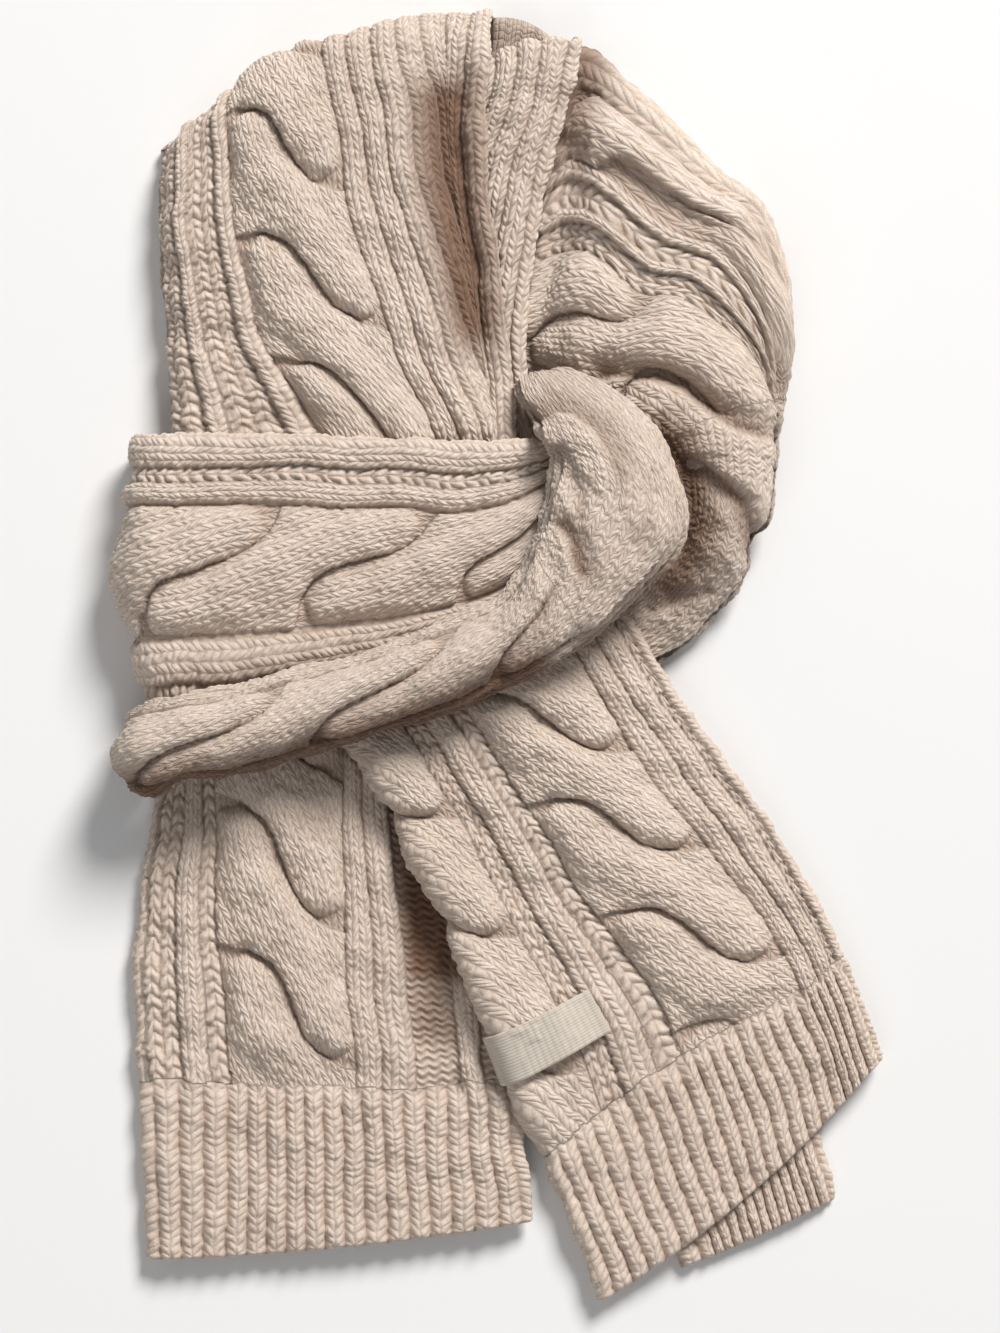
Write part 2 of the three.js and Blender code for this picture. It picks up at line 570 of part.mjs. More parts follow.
// A block under the cloth whose top stays below all of it.
function spaceUnder(cloths) {
  const box = new THREE.Box3().setFromObject(scarf).expandByScalar(coreCell);
  const fine = clearHeights(cloths, box, coreCell / looks);
  const points = [];
  const triangles = [];
  const columns = Math.floor((fine.columns - 1) / looks) + 1;
  const rows = Math.floor((fine.rows - 1) / looks) + 1;
  for (let i = 0; i < rows; i += 1) {
    for (let j = 0; j < columns; j += 1) {
      let top = openHeight;
      for (let a = Math.max((i - 1) * looks, 0); a <= Math.min((i + 1) * looks, fine.rows - 1); a += 1) {
        for (let b = Math.max((j - 1) * looks, 0); b <= Math.min((j + 1) * looks, fine.columns - 1); b += 1) {
          top = Math.min(top, fine.at(a, b));
        }
      }
      const height = top - coreGap > coreThin ? top - coreGap : coreClosed;
      points.push(new THREE.Vector3(box.min.x + j * coreCell, box.min.y + i * coreCell, height));
    }
  }
  for (let i = 0; i + 1 < rows; i += 1) {
    for (let j = 0; j + 1 < columns; j += 1) {
      const corner = i * columns + j;
      const opposite = corner + columns + 1;
      triangles.push([corner, corner + 1, opposite], [corner, opposite, corner + columns]);
    }
  }
  const count = points.length;
  const under = points.map((point) => new THREE.Vector3(point.x, point.y, 2 * coreClosed));
  const border = [];
  for (let j = 0; j < columns - 1; j += 1) {
    border.push(j);
  }
  for (let i = 0; i < rows - 1; i += 1) {
    border.push(i * columns + columns - 1);
  }
  for (let j = columns - 1; j > 0; j -= 1) {
    border.push((rows - 1) * columns + j);
  }
  for (let i = rows - 1; i > 0; i -= 1) {
    border.push(i * columns);
  }
  const walls = border.flatMap((a, k) => {
    const b = border[(k + 1) % border.length];
    return [[a, a + count, b + count], [a, b + count, b]];
  });
  const floor = triangles.map(([a, b, c]) => [a + count, c + count, b + count]);
  return closedGeometry([...points, ...under], [...triangles, ...walls, ...floor]);
}

// The covered layers share one solid: two rounded layers on the table and a plain heart over them.
function hiddenGeometry() {
  const prints = [
    footprint(tailLeft, 0, 10, 8, 2),
    footprint(tailRight, 0, 9, 7, 4),
    footprint(neckLeft, 3, 10, 12, 3),
    footprint(neckRight, 2, 12, 4, 16),
    footprint(wrapBand, 3, 12, 2, 6),
    footprint(wrapRoll, 4, 15, 6, 2),
  ];
  let layers = null;
  for (const shape of prints) {
    for (const solid of [
      slab(shape, 0, layerHeight, layerRound),
      slab(shape, layerHeight - 0.5, layerHeight, layerRound),
      slab(shape, 2 * layerHeight - 1.5, openHeight, 0),
    ].map(toSolid)) {
      layers = layers ? layers.add(solid) : solid;
    }
  }
  const bodies = layers.intersect(toSolid(spaceUnder([...scarf.children]))).decompose();
  bodies.sort((a, b) => b.volume() - a.volume());
  return toGeometry(bodies[0]);
}

addPiece('hidden_layers', hiddenGeometry(), woolDeep);

// The origin of the part lies on the table under the middle of the whole.
scarf.position.set(-middleX, -middleY, 0);

export default scarf;
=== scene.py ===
# %% [markdown]
# # A cable-knit scarf, wound once round and laid flat
#
# The scarf is one long strip of oatmeal wool with rope cables, rib bands and ribbed hems.
# Its form is already settled in the CAD frame: a table for each stretch of the strip that
# shows. This lesson dresses those stretches in knitting that is fine enough to look at.

# %% The frame
import math

import bmesh
import bpy
import numpy as np
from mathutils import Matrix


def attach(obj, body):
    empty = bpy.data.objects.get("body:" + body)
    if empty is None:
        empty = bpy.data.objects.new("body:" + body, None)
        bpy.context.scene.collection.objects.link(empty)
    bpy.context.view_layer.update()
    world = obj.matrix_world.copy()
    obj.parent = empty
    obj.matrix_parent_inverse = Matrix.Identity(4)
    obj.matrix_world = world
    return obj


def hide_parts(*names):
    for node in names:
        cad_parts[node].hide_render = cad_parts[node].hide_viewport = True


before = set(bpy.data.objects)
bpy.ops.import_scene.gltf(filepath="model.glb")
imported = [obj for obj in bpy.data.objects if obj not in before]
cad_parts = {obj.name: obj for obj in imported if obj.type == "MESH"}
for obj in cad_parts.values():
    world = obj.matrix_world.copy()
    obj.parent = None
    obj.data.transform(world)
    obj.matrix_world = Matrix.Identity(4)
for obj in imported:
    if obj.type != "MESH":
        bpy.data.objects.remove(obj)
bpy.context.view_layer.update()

MM = 0.001

# %% [markdown]
# ## Floor, light and camera
#
# The scarf lies on a pale table and is seen from straight above. A long lens far away keeps
# the high roll from looking larger than the hems. One soft light comes from the upper right,
# low enough to draw every stitch, and a wide weak one fills the shadows.

# %% Camera and light
VIEW_HEIGHT = 0.600  # length of table that the picture's long side shows
LENS = 150.0
SENSOR = 36.0
EYE = VIEW_HEIGHT * LENS / SENSOR + 0.02  # counted from halfway up the scarf
VIEW_MIDDLE = (-0.00005, -0.0047)
SKY_LIGHT = 0.22  # strength of the even light from all sides


def add_object(name, data):
    obj = bpy.data.objects.new(name, data)
    bpy.context.collection.objects.link(obj)
    return obj


def add_light(name, place, size, power, colour):
    """A round lamp that looks at the middle of the scarf."""
    lamp = bpy.data.lights.new(name, "AREA")
    lamp.shape = "DISK"
    lamp.size = size
    lamp.energy = power
    lamp.color = colour
    obj = add_object(name, lamp)
    obj.location = place
    x, y, z = obj.location
    obj.rotation_euler = (math.atan2(math.hypot(x, y), z), 0.0, math.atan2(x, -y))


camera = add_object("camera", bpy.data.cameras.new("camera"))
camera.data.lens = LENS
camera.data.sensor_width = SENSOR
camera.location = (*VIEW_MIDDLE, EYE)
scene = bpy.context.scene
scene.camera = camera

add_light("key", (2.2, 4.2, 3.6), 2.2, 420.0, (1.0, 0.97, 0.94))
add_light("fill", (-0.7, -1.5, 1.6), 1.6, 7.0, (1.0, 0.97, 0.95))
world = bpy.data.worlds.new("studio")
world.use_nodes = True
sky = world.node_tree.nodes["Background"].inputs
sky["Color"].default_value = (1.0, 1.0, 1.0, 1.0)
sky["Strength"].default_value = SKY_LIGHT
scene.world = world
scene.view_settings.view_transform = "Standard"
print("camera", round(EYE, 3), "m over the table")

# %% [markdown]
# ## The strip's own measures
#
# All cloth here is counted in millimetres across and along the strip, as a knitter counts
# stitches and rows. The widths are those of the CAD solids, so that each shell lies on its
# solid. Cables and ribs are a little fuller here, and the stitch sizes are new, because the
# solids leave stitches out.

# %% Measures of the knitting
WALL = 3.0  # thickness of the cloth
CABLE_WIDTH = 56.0
CABLE_TURN = 66.0  # one crossing of the cable to the next
CABLE_RISE = 8.0
TIP = 21.0  # radius of a strand's round tip
BAND_WIDTH = 33.0  # ribs and beads between two cables
RIB_RISE = 2.7
HEM_RISE = 3.6
CABLE_PITCH = CABLE_WIDTH + BAND_WIDTH
WALE = 5.6  # width of a stitch in a cable
RIB_WALE = 6.5  # and in a rib
COURSE = 3.7  # height of a stitch
MIDDLE = np.array([0.05, 4.05, 0.0])  # the frame's origin in the tables
print("stitches along one cable crossing", round(CABLE_TURN / COURSE, 1))

# %% [markdown]
# ## One table for each stretch
#
# A row is one section across the strip: where its two edges lie, how far it bows, which share
# of it the cable takes, and how high it stands. Folds are soft troughs or ridges along it,
# shades are places that lie deep and get a painted shade, and bands are what is knitted beside
# the cable. The same could be sculpted by hand, but a table keeps each shell on the solid that
# it stands for.

# %% How the tables are read
SECTION = ("along left_x left_y right_x right_y bow cable_from cable_to "
           "left_z middle_z right_z left_foot right_foot").split()
FOLD = "across_from across_to along_from along_to width depth".split()


def table(names, *rows):
    return [dict(zip(names, row)) for row in rows]


CABLE = (0.0, CABLE_WIDTH, 0.0, CABLE_TURN)  # middle, width, start and turn
ROPES = [("rib", 11)]  # where no other band is given
STRETCHES = {}
print("each row gives", *SECTION)

# %% [markdown]
# The two tails hang down from the knot, fold over at their left edges and end in ribbed hems.
# The corner of a layer below looks out from under the right one.

# %% The tails
STRETCHES["tail_left"] = dict(
    start=-61, end=94, tucks=(9, 3), rolls=(5, 4), cables=[CABLE], hem=131, hem_pitch=8.6,
    bands=([("beads", 7), ("rib", 10), ("beads", 12.5), ("rib", 12)],
           [("rib", 11), ("rib", 13.5), ("purl", 19), ("rib", 10), ("purl", 30)]),
    folds=table(FOLD, (60, 64, -40, 150, 9, -1.0)),
    shades=[(53, 100, -60, 84, 1.0, 6), (54, 70, 60, 112, 0.6, 7), (-99, 120, -60, -16, 0.6, 14)],
    rows=[
        (-38, -142, -27, -27, -24, 0, 0.18, 0.63, 8, 8, 8, 1, 4.8),
        (-13, -150, -47, -20, -47, 0, 0.18, 0.61, 9, 9, 9, 0, 4.8),
        (19, -157, -79, -11, -79, 0, 0.21, 0.59, 9.5, 9.5, 9, 0, 4.8),
        (46, -161, -106, -4, -106, 0, 0.22, 0.58, 9.5, 10, 9, 0, 4.8),
        (73, -164, -133, 0, -133, 0, 0.24, 0.58, 9.5, 10, 9, 0, 4.8),
        (104, -163, -164, 4, -162, 0, 0.25, 0.58, 9.5, 10, 9, 0, 4.8),
        (131, -161, -191, 6, -188, 0, 0.25, 0.58, 9.5, 9.5, 9, 0, 4.8),
        (158, -159, -219, 8, -212, 0, 0.24, 0.57, 9.2, 9.2, 9, 0, 4.8),
        (190, -158, -251, 11, -236, -1, 0.23, 0.56, 9, 9, 9, 0, 4.8),
        (208, -157, -269, 13, -252, -3, 0.22, 0.55, 8.6, 8.6, 8.6, 0, 4.8)])
STRETCHES["tail_right"] = dict(
    start=-86, end=61, tucks=(9, 3), rolls=(5, 4), hem=212, hem_pitch=6.9,
    cables=[CABLE, (-CABLE_PITCH, CABLE_WIDTH, 0.0, CABLE_TURN)],
    bands=([("beads", 9), ("rib", 14), ("beads", 10)],
           [("rib", 13), ("rib", 12), ("beads", 4), ("rib", 12)]),
    folds=table(FOLD, (-50, -46, -20, 210, 8, -1.2), (30, 34, 10, 210, 8, -1.5)),
    shades=[(-99, 70, -40, 8, 0.4, 16)],
    rows=[
        (-18, -73, -21, 50, 35, 0, 0.36, 0.79, 19, 22, 19, 13, 14),
        (17, -56, -45, 67, 4, 0, 0.37, 0.78, 20.5, 21, 17, 14.5, 11),
        (56, -40, -75, 85, -24, 0, 0.38, 0.77, 20, 19, 13, 14, 4.8),
        (92, -26, -103, 103, -48, 0, 0.39, 0.78, 20, 17, 11, 14, 4.8),
        (125, -14, -131, 120, -71, 0, 0.40, 0.80, 19.5, 15, 10, 14, 4.8),
        (157, -2, -160, 135, -96, 0, 0.44, 0.83, 18.5, 13.5, 9.5, 13, 4.8),
        (185, 9, -189, 146, -116, 0, 0.47, 0.85, 15, 12, 9.5, 9, 4.8),
        (212, 20, -220, 153, -132, 0, 0.48, 0.86, 11, 10.5, 9.5, 1, 4.8),
        (245, 34, -254, 163, -156, -3, 0.47, 0.86, 9.6, 9.4, 9.2, 0, 5),
        (280, 46, -288, 171, -180, -7, 0.46, 0.85, 8.8, 9, 8.8, 0, 5)])
STRETCHES["tail_under"] = dict(
    start=-39, end=61, tucks=(0, 2), rolls=(3, 3), hem=-100, hem_pitch=6.9,
    rows=[
        (0, 62, -218, 134, -178, 0, 0.2, 0.7, 3.6, 3.6, 3.6, 0, 0),
        (33, 72, -246, 141, -209, 0, 0.2, 0.7, 3.6, 3.6, 3.6, 0, 0),
        (66, 83, -273, 150, -243, -1, 0.2, 0.7, 3.6, 3.6, 3.6, 0, 0)])
print(len(STRETCHES), "stretches in the tails")

# %% [markdown]
# The neck loop has four stretches. The left one is broad and has a deep trough, the lip lies
# beside it, the back is a short turn between them, and the right one is crushed into the knot.

# %% The neck loop
STRETCHES["neck_left"] = dict(
    start=-61, end=105, tucks=(8, 0), rolls=(9, 5), cables=[(0.0, CABLE_WIDTH, -7.0, CABLE_TURN)],
    fold_line=85, flat_until=-4,
    bands=([("rib", 6.5), ("beads", 11), ("rib", 5), ("beads", 12)], ROPES),
    folds=table(FOLD, (58, 62, -60, 190, 9, 2.2), (82, 88, -60, 165, 14, -9.5)),
    shades=[(66, 101, 12, 130, 1.0, 12), (-80, 120, 172, 200, 0.5, 8)],
    rows=[
        (-58, -138, 215, -6, 284, 10, 0.25, 0.53, 2.5, 2.5, 4, 0, 0),
        (-42, -149, 228, -5, 292, 14, 0.25, 0.53, 6, 6, 8, 0, 1),
        (-26, -151, 234, -4, 294, 16, 0.25, 0.53, 13, 16, 15, 0, 8),
        (-8, -153, 225, -5, 283, 14, 0.25, 0.54, 18, 22, 22, 0, 15),
        (27, -154, 203, -7, 254, 8, 0.26, 0.58, 20, 23, 24, 0, 17),
        (61, -153, 178, -6, 220, 4, 0.27, 0.59, 20, 23, 24, 0, 17),
        (97, -151, 155, -1, 181, 0, 0.29, 0.64, 20, 22, 23, 0, 17),
        (129, -150, 133, 3, 144, 0, 0.34, 0.68, 20, 22, 23, 0, 17),
        (163, -148, 106, 6, 108, 0, 0.44, 0.76, 20, 22, 23, 0, 17),
        (186, -147, 84, 7, 86, 0, 0.46, 0.78, 18, 20, 20, 0, 14)])
STRETCHES["neck_lip"] = dict(
    start=-28, end=17, tucks=(0, 4), rolls=(3, 5), fold_line=-40,
    rows=[
        (-12, -5, 268, 32, 275, 4, 0, 0.6, 9, 10, 12, 5, 8),
        (0, -6, 271, 35, 281, 4, 0, 0.6, 12, 14, 15, 6, 9),
        (14, -8, 259, 34, 271, 3, 0, 0.6, 12, 16, 16, 6, 10),
        (42, -10, 244, 28, 250, 0, 0, 0.6, 12, 16, 16, 6, 9),
        (74, -9, 221, 20, 222, 0, 0, 0.6, 12, 16, 16, 6, 9),
        (106, -5, 190, 14, 191, 0, 0, 0.6, 12, 16, 16, 6, 9),
        (134, -1, 163, 11, 164, 0, 0, 0.6, 12, 16, 16, 6, 9),
        (166, 1, 132, 10, 133, 0, 0, 0.6, 12, 15, 15, 6, 9),
        (196, 4, 103, 21, 102, 0, 0, 0.6, 12, 14, 14, 6, 9),
        (208, 3, 92, 21, 91, 0, 0, 0.6, 12, 14, 14, 6, 9)])
STRETCHES["neck_back"] = dict(
    start=-22, end=22, tucks=(0, 0), rolls=(3, 4),
    shades=[(-60, 60, -40, 60, 1.0, 5)],
    rows=[
        (0, -4, 268, 22, 272, 2, 0, 0.6, 3.6, 3.6, 3.6, 0, 0),
        (12, -3, 281, 23, 278, 3, 0, 0.6, 4.6, 4.6, 4.6, 0.5, 0.5),
        (24, -2, 293, 23, 284, 3, 0, 0.6, 7, 7, 6, 3, 3)])
STRETCHES["neck_right"] = dict(
    start=-34, end=94, tucks=(4, 10), rolls=(6, 12), plain_from=100,
    cables=[CABLE, (69.0, 23.0, 26.0, 72.0)],
    bands=([("beads", 9), ("rib", 14)],
           [("beads", 10), ("rib", 5), ("beads", 9), ("rib", 6),
            ("groove", 22), ("rib", 16), ("rib", 14)]),
    folds=table(FOLD, (82, 80, 0, 110, 5, -1.5)),
    shades=[(58, 110, -30, 22, 0.75, 9), (-60, -20, 20, 150, 0.35, 8)],
    rows=[
        (0, 8, 134, 27, 266, 0, 0.04, 0.36, 4, 4, 4, 0, 0),
        (12, 20, 130, 39, 278.5, 0, 0.04, 0.38, 6, 7, 6, 0, 0),
        (33, 34, 122, 64, 256, 6, 0.06, 0.46, 14, 19, 16, 0, 0),
        (52, 45, 115, 98, 224, 8, 0.07, 0.46, 18, 25, 19, 0, 0),
        (70, 51, 109, 120, 203, 9, 0.08, 0.54, 20, 29, 21, 0, 0),
        (86, 56, 103, 129, 168, 6, 0.09, 0.66, 21, 32, 24, 0, 0),
        (99, 60, 97, 125, 137, 3, 0.10, 0.82, 21, 34, 26, 0, 0),
        (130, 66, 88, 120, 103, 2, 0.10, 0.93, 21, 35, 28, 0, 0),
        (160, 71, 79, 118, 82, 2, 0.08, 0.94, 20, 33, 27, 0, 0),
        (180, 74, 68, 114, 60, 3, 0.06, 0.94, 16, 30, 25, 0, 0),
        (200, 72, 54, 107, 46, 4, 0.04, 0.94, 12, 26, 22, 0, 0),
        (222, 62, 40, 98, 32, 4, 0.04, 0.94, 8, 21, 18, 0, 0),
        (246, 52, 30, 85, 18, 3, 0.04, 0.94, 4, 10, 12, 0, 0),
        (268, 42, 25, 66, 4, 0, 0.04, 0.94, 3, 5, 6, 0, 0)])
print(len(STRETCHES), "stretches with the neck loop")

# %% [markdown]
# The wrap goes once round both sides of the neck loop. Its upper part is a flat band, and its
# lower part is a roll that leans out over the band's edge and twists up into the knot.

# %% The wrap
STRETCHES["wrap_band"] = dict(
    start=-50, end=61, tucks=(0, 4), rolls=(3, 4), cables=[(0.0, CABLE_WIDTH, -8.0, 74.0)],
    bands=([("groove", 1.5), ("rib", 13), ("beads", 7), ("rib", 13)],
           [("groove", 1.5), ("rib", 10), ("beads", 7), ("rib", 18)]),
    shades=[(-70, 70, 182, 210, 0.6, 9), (-70, -34, 0, 200, 0.3, 8)],
    rows=[
        (-54, -146, -24, -150, 93, 3, 0.28, 0.74, 3, 3, 3, 0, 0),
        (-40, -155, -22, -160, 97, 5, 0.28, 0.74, 6, 6, 6, 0, 0),
        (-22, -158, -20, -164, 101, 7, 0.28, 0.74, 16, 17, 17, 10, 11),
        (-4, -150, -20, -157, 102, 6, 0.28, 0.74, 27, 30, 30, 21, 24),
        (22, -133, -20, -135, 102, 3, 0.28, 0.74, 29, 32.5, 32.5, 23, 27),
        (50, -108, -15, -108, 102, 0, 0.27, 0.73, 29, 32.5, 33, 23, 27),
        (83, -75, -8, -76, 101, 0, 0.25, 0.715, 29, 32.5, 33, 23, 27),
        (115, -45, 1, -45, 100, 0, 0.23, 0.69, 29, 32.5, 33, 23, 27),
        (144, -17, 12, -18, 99, 0, 0.20, 0.64, 29, 32.5, 33, 23, 27),
        (168, 8, 29, 5, 99, 0, 0.17, 0.62, 29, 32, 33, 23, 27),
        (186, 21, 54, 23, 99, 0, 0.15, 0.62, 29, 31, 32, 23, 26),
        (199, 33, 74, 35, 97, 0, 0.15, 0.62, 28, 28, 28, 23, 22)])
STRETCHES["wrap_roll"] = dict(
    start=-46, end=46, tucks=(16, 26), rolls=(30, 30), plain_from=196,
    cables=[(0.0, CABLE_WIDTH, -5.0, 82.0)],
    shades=[(-80, -12, -60, 190, 1.0, 15), (-80, -34, 180, 260, 0.7, 12)],
    rows=[
        (-44, -158, -47, -158, -30, 2, 0.2, 0.8, 10, 10, 10, 3, 3),
        (-30, -163, -51, -163, -28, 2, 0.2, 0.8, 15, 15, 15, 4, 5),
        (-14, -164, -54, -165, -24, 3, 0.2, 0.8, 25, 27, 25, 10, 14),
        (2, -157, -57, -157, -19, 3, 0.2, 0.8, 38, 40, 38, 13, 20),
        (20, -143, -49, -143, -16, 0, 0.2, 0.8, 42, 44, 42, 14, 29),
        (40, -121, -47, -121, -12, 0, 0.2, 0.8, 44, 46, 44, 14, 27.7),
        (77, -86, -38, -89, -3, 0, 0.2, 0.8, 45, 47, 45, 15, 27.7),
        (109, -54, -28, -54, 5, 0, 0.2, 0.8, 45, 47, 45, 25, 27.7),
        (145, -18, -17, -26, 17, 0, 0.2, 0.8, 46, 48, 46, 26, 27.7),
        (172, 9, -4, 0, 29, 0, 0.2, 0.8, 47, 49, 47, 26, 27.7),
        (206, 36, 11, 15, 51, 0, 0.2, 0.8, 49, 51, 49, 26, 27.7),
        (240, 63, 35, 22, 72, 0, 0.2, 0.8, 51, 53, 51, 26, 27.7),
        (262, 80, 55, 25, 89, 0, 0.2, 0.8, 51, 54, 51, 27, 27.7),
        (280, 80, 75, 23, 99, 0, 0.2, 0.8, 50, 53, 50, 32, 27.7),
        (298, 72, 97, 16, 106, 0, 0.2, 0.8, 47, 50, 47, 31, 28),
        (316, 60, 113, 12, 112, 0, 0.2, 0.8, 41, 44, 41, 28, 22),
        (330, 42, 125, 9, 121, 0, 0.2, 0.8, 32, 34, 32, 23, 20),
        (340, 28, 130, 9, 126, 0, 0.2, 0.8, 25, 25, 25, 19, 18)])
print(len(STRETCHES), "stretches,", sum(len(s["rows"]) for s in STRETCHES.values()), "sections")

# %% [markdown]
# Some creases come from the hands that laid the scarf down, and no pattern makes them. Each is
# drawn in plan from its start to its end. The cloth to the right of that way has the steep side
# and lies over the cloth to the left of it. Cloth physics could find creases too, but not these.

# %% Creases
# dark is how much painted shade a crease gets
CREASE = "steep gentle depths dark points".split()
CREASES = {
    "neck_right": table(
        CREASE,
        (2.5, 8.0, (-5.5, -4.5), 0.7, [
            (39, 130), (53, 131), (70, 129.5), (83, 125), (97, 112.5), (105, 107), (119, 102)]),
        (2.5, 8.0, (-5.0, -7.0), 0.8, [
            (114, 48), (113, 58), (108, 74), (99, 83), (90.5, 89), (80, 92)]),
        (6.0, 13.0, (-4.0, -5.0), 1.0, [
            (66, 110), (76, 98), (84, 83), (88, 65), (83, 47), (68, 28)]),
        (3.0, 6.0, (-4.0, -1.0), 0.6, [(20, 237), (30, 235), (44, 233)]),
        (2.5, 5.0, (-3.0, -3.0), 0.6, [(66, 24), (80, 30), (96, 36)])),
    "wrap_roll": table(
        CREASE,
        (2.5, 8.0, (-8.0, -1.0), 0.55, [
            (11, 115), (16, 109), (25.7, 113), (33, 111.5), (43, 104), (50.5, 91), (54, 78)]),
        (2.0, 6.0, (-3.5, -2.5), 0.8, [
            (27, 63), (30, 59.5), (33, 55), (34.2, 46), (37, 38)]),
        (3.0, 3.0, (-1.8, -1.2), 0.3, [
            (27, 101), (33, 89), (37, 73), (37, 62)]),
        (3.0, 3.0, (-1.0, -1.4), 0.2, [
            (50, 96), (62, 84), (66, 70), (60, 52)])),
}
for name, creases in CREASES.items():
    STRETCHES[name]["creases"] = creases
    print(name, len(creases), "creases")

# %% [markdown]
# ## From the table to a surface
#
# A smooth curve runs through the rows of a table, and a point across the strip then gets its
# place between the two edges. Rolled edges are half ellipses from the top of the cloth down
# to its foot. Numpy works out all the points of a stretch at once.

# %% The plain surface
def row_at(rows, along):
    """The table's values at places between its rows, on a smooth curve through them."""
    rows = np.array(rows, dtype=float)
    i = np.clip(np.searchsorted(rows[:, 0], along, side="left") - 1, 0, len(rows) - 2)
    before, low, high, after = (rows[np.clip(i + k, 0, len(rows) - 1)] for k in (-1, 0, 1, 2))
    span = high[:, :1] - low[:, :1]
    t = (along[:, None] - low[:, :1]) / span
    slope_in = (high - before) / (high[:, :1] - before[:, :1]) * span
    slope_out = (after - low) / (after[:, :1] - low[:, :1]) * span
    values = (low * (1 + 2 * t) * (1 - t) ** 2 + slope_in * t * (1 - t) ** 2
              + high * t * t * (3 - 2 * t) + slope_out * t * t * (t - 1))
    return dict(zip(SECTION, values.T))


def share_at(stretch, row, across):
    """Share of a section's cloth at a place across, where the cable keeps its measured place."""
    half = CABLE_WIDTH / 2
    start, end = stretch["start"], stretch["end"]
    low = row["cable_from"] if start < -half else 0.0
    high = row["cable_to"] if end > half else 1.0
    share = low + (high - low) * (across - max(start, -half)) / (min(end, half) - max(start, -half))
    if start < -half:
        share = np.where(across < -half, low * (across - start) / (-half - start), share)
    if end > half:
        share = np.where(across > half, high + (1 - high) * (across - half) / (end - half), share)
    return share


def edge_roll(length, radius, drop, quarter):
    """How far in and how far down the cloth is, given its length from the outermost point."""
    turn = math.pi / 2 * (1 - length / quarter)
    inward = np.where(turn > math.pi, radius - length - quarter, radius * (1 - np.sin(turn)))
    down = np.where(turn > math.pi, drop, drop * (1 - np.cos(turn)) / 2)
    return inward, down


def cloth_point(stretch, across, along):
    """Points of the plain outer surface, in the tables' millimetres."""
    row = row_at(stretch["rows"], along)
    left = np.stack([row["left_x"], row["left_y"]], axis=1)
    right = np.stack([row["right_x"], row["right_y"]], axis=1)
    width = np.linalg.norm(right - left, axis=1)
    radii = [np.minimum(roll, width / 2) for roll in stretch["rolls"]]
    drops = [row["left_z"] - row["left_foot"], row["right_z"] - row["right_foot"]]
    quarters = [math.pi / 2 * np.hypot(r, d / 2) / math.sqrt(2) for r, d in zip(radii, drops)]
    cloth = width - sum(radii) + sum(quarters)
    length = cloth * share_at(stretch, row, across)
    inward = length - quarters[0] + radii[0]
    down = np.zeros_like(inward)
    left_in, left_down = edge_roll(length, radii[0], drops[0], quarters[0])
    right_in, right_down = edge_roll(cloth - length, radii[1], drops[1], quarters[1])
    on_left = length < quarters[0]
    on_right = ~on_left & (length > cloth - quarters[1])
    inward = np.where(on_left, left_in, np.where(on_right, width - right_in, inward))
    down = np.where(on_left, left_down, np.where(on_right, right_down, down))
    share = inward / width
    middle = 4 * share * (1 - share)
    height = (row["left_z"] * (1 - share) + row["right_z"] * share
              + middle * (row["middle_z"] - (row["left_z"] + row["right_z"]) / 2) - down)
    for fold in stretch.get("folds", []):
        t = np.clip((along - fold["along_from"]) / (fold["along_to"] - fold["along_from"]), 0, 1)
        centre = fold["across_from"] * (1 - t) + fold["across_to"] * t
        aside = (across - centre) / fold["width"]
        height = height + fold["depth"] * np.exp(-aside ** 2) * np.sqrt(abs(np.sin(math.pi * t)))
    over = (right - left) / width[:, None]
    back = np.stack([-over[:, 1], over[:, 0]], axis=1)
    place = left + over * inward[:, None] + back * (row["bow"] * middle)[:, None]
    return np.column_stack([place, height])


def cloth_normal(stretch, across, along, step=0.5):
    over = cloth_point(stretch, across + step, along) - cloth_point(stretch, across - step, along)
    onward = cloth_point(stretch, across, along + step) - cloth_point(stretch, across, along - step)
    normal = np.cross(onward, over)
    return normal / np.linalg.norm(normal, axis=1)[:, None]


print("middle of the wrap", cloth_point(STRETCHES["wrap_band"], np.zeros(1), np.full(1, 80.0)).round(1))

# %% [markdown]
# A crease gets its depth from the distance to its drawn line, with one width on each side.
# The same soft steps and round edges shape cables and shades.

# %% Soft steps and creases
def smooth_step(value, low, high):
    t = np.clip((value - low) / (high - low), 0, 1)
    return t * t * (3 - 2 * t)


def within(value, low, high, soft):
    """1 between two places and 0 outside, with soft ends."""
    return smooth_step(value, low - soft, low + soft) * (1 - smooth_step(value, high - soft, high + soft))


def between(pair, share):
    return pair[0] + (pair[1] - pair[0]) * share


def round_edge(distance, width):
    """How far a round edge has dropped: 1 on the edge and 0 from a width away."""
    return 1 - np.sqrt(1 - (1 - np.clip(distance / width, 0, 1)) ** 2)


def crease_at(crease, plan):
    """Depth in millimetres and painted shade of a crease at points in plan."""
    nearest = np.full(len(plan), np.inf)
    sideways = np.zeros(len(plan))
    onward = np.zeros(len(plan))
    points = np.array(crease["points"], dtype=float)
    for number, (start, end) in enumerate(zip(points[:-1], points[1:])):
        run = end - start
        t = np.clip((plan - start) @ run / (run @ run), 0, 1)
        away = plan - start - t[:, None] * run
        distance = np.hypot(away[:, 0], away[:, 1])
        closer = distance < nearest
        nearest = np.where(closer, distance, nearest)
        sideways = np.where(closer, run[0] * away[:, 1] - run[1] * away[:, 0], sideways)
        onward = np.where(closer, (number + t) / (len(points) - 1), onward)
    width = np.where(sideways > 0, crease["gentle"], crease["steep"])
    near = np.exp(-(nearest / width) ** 2)
    ends = smooth_step(onward, -0.05, 0.12) * (1 - smooth_step(onward, 0.9, 1.05))
    return near * between(crease["depths"], onward) * ends, near * crease["dark"] * ends


print("a round edge drops by", round_edge(np.arange(5), 4).round(2))

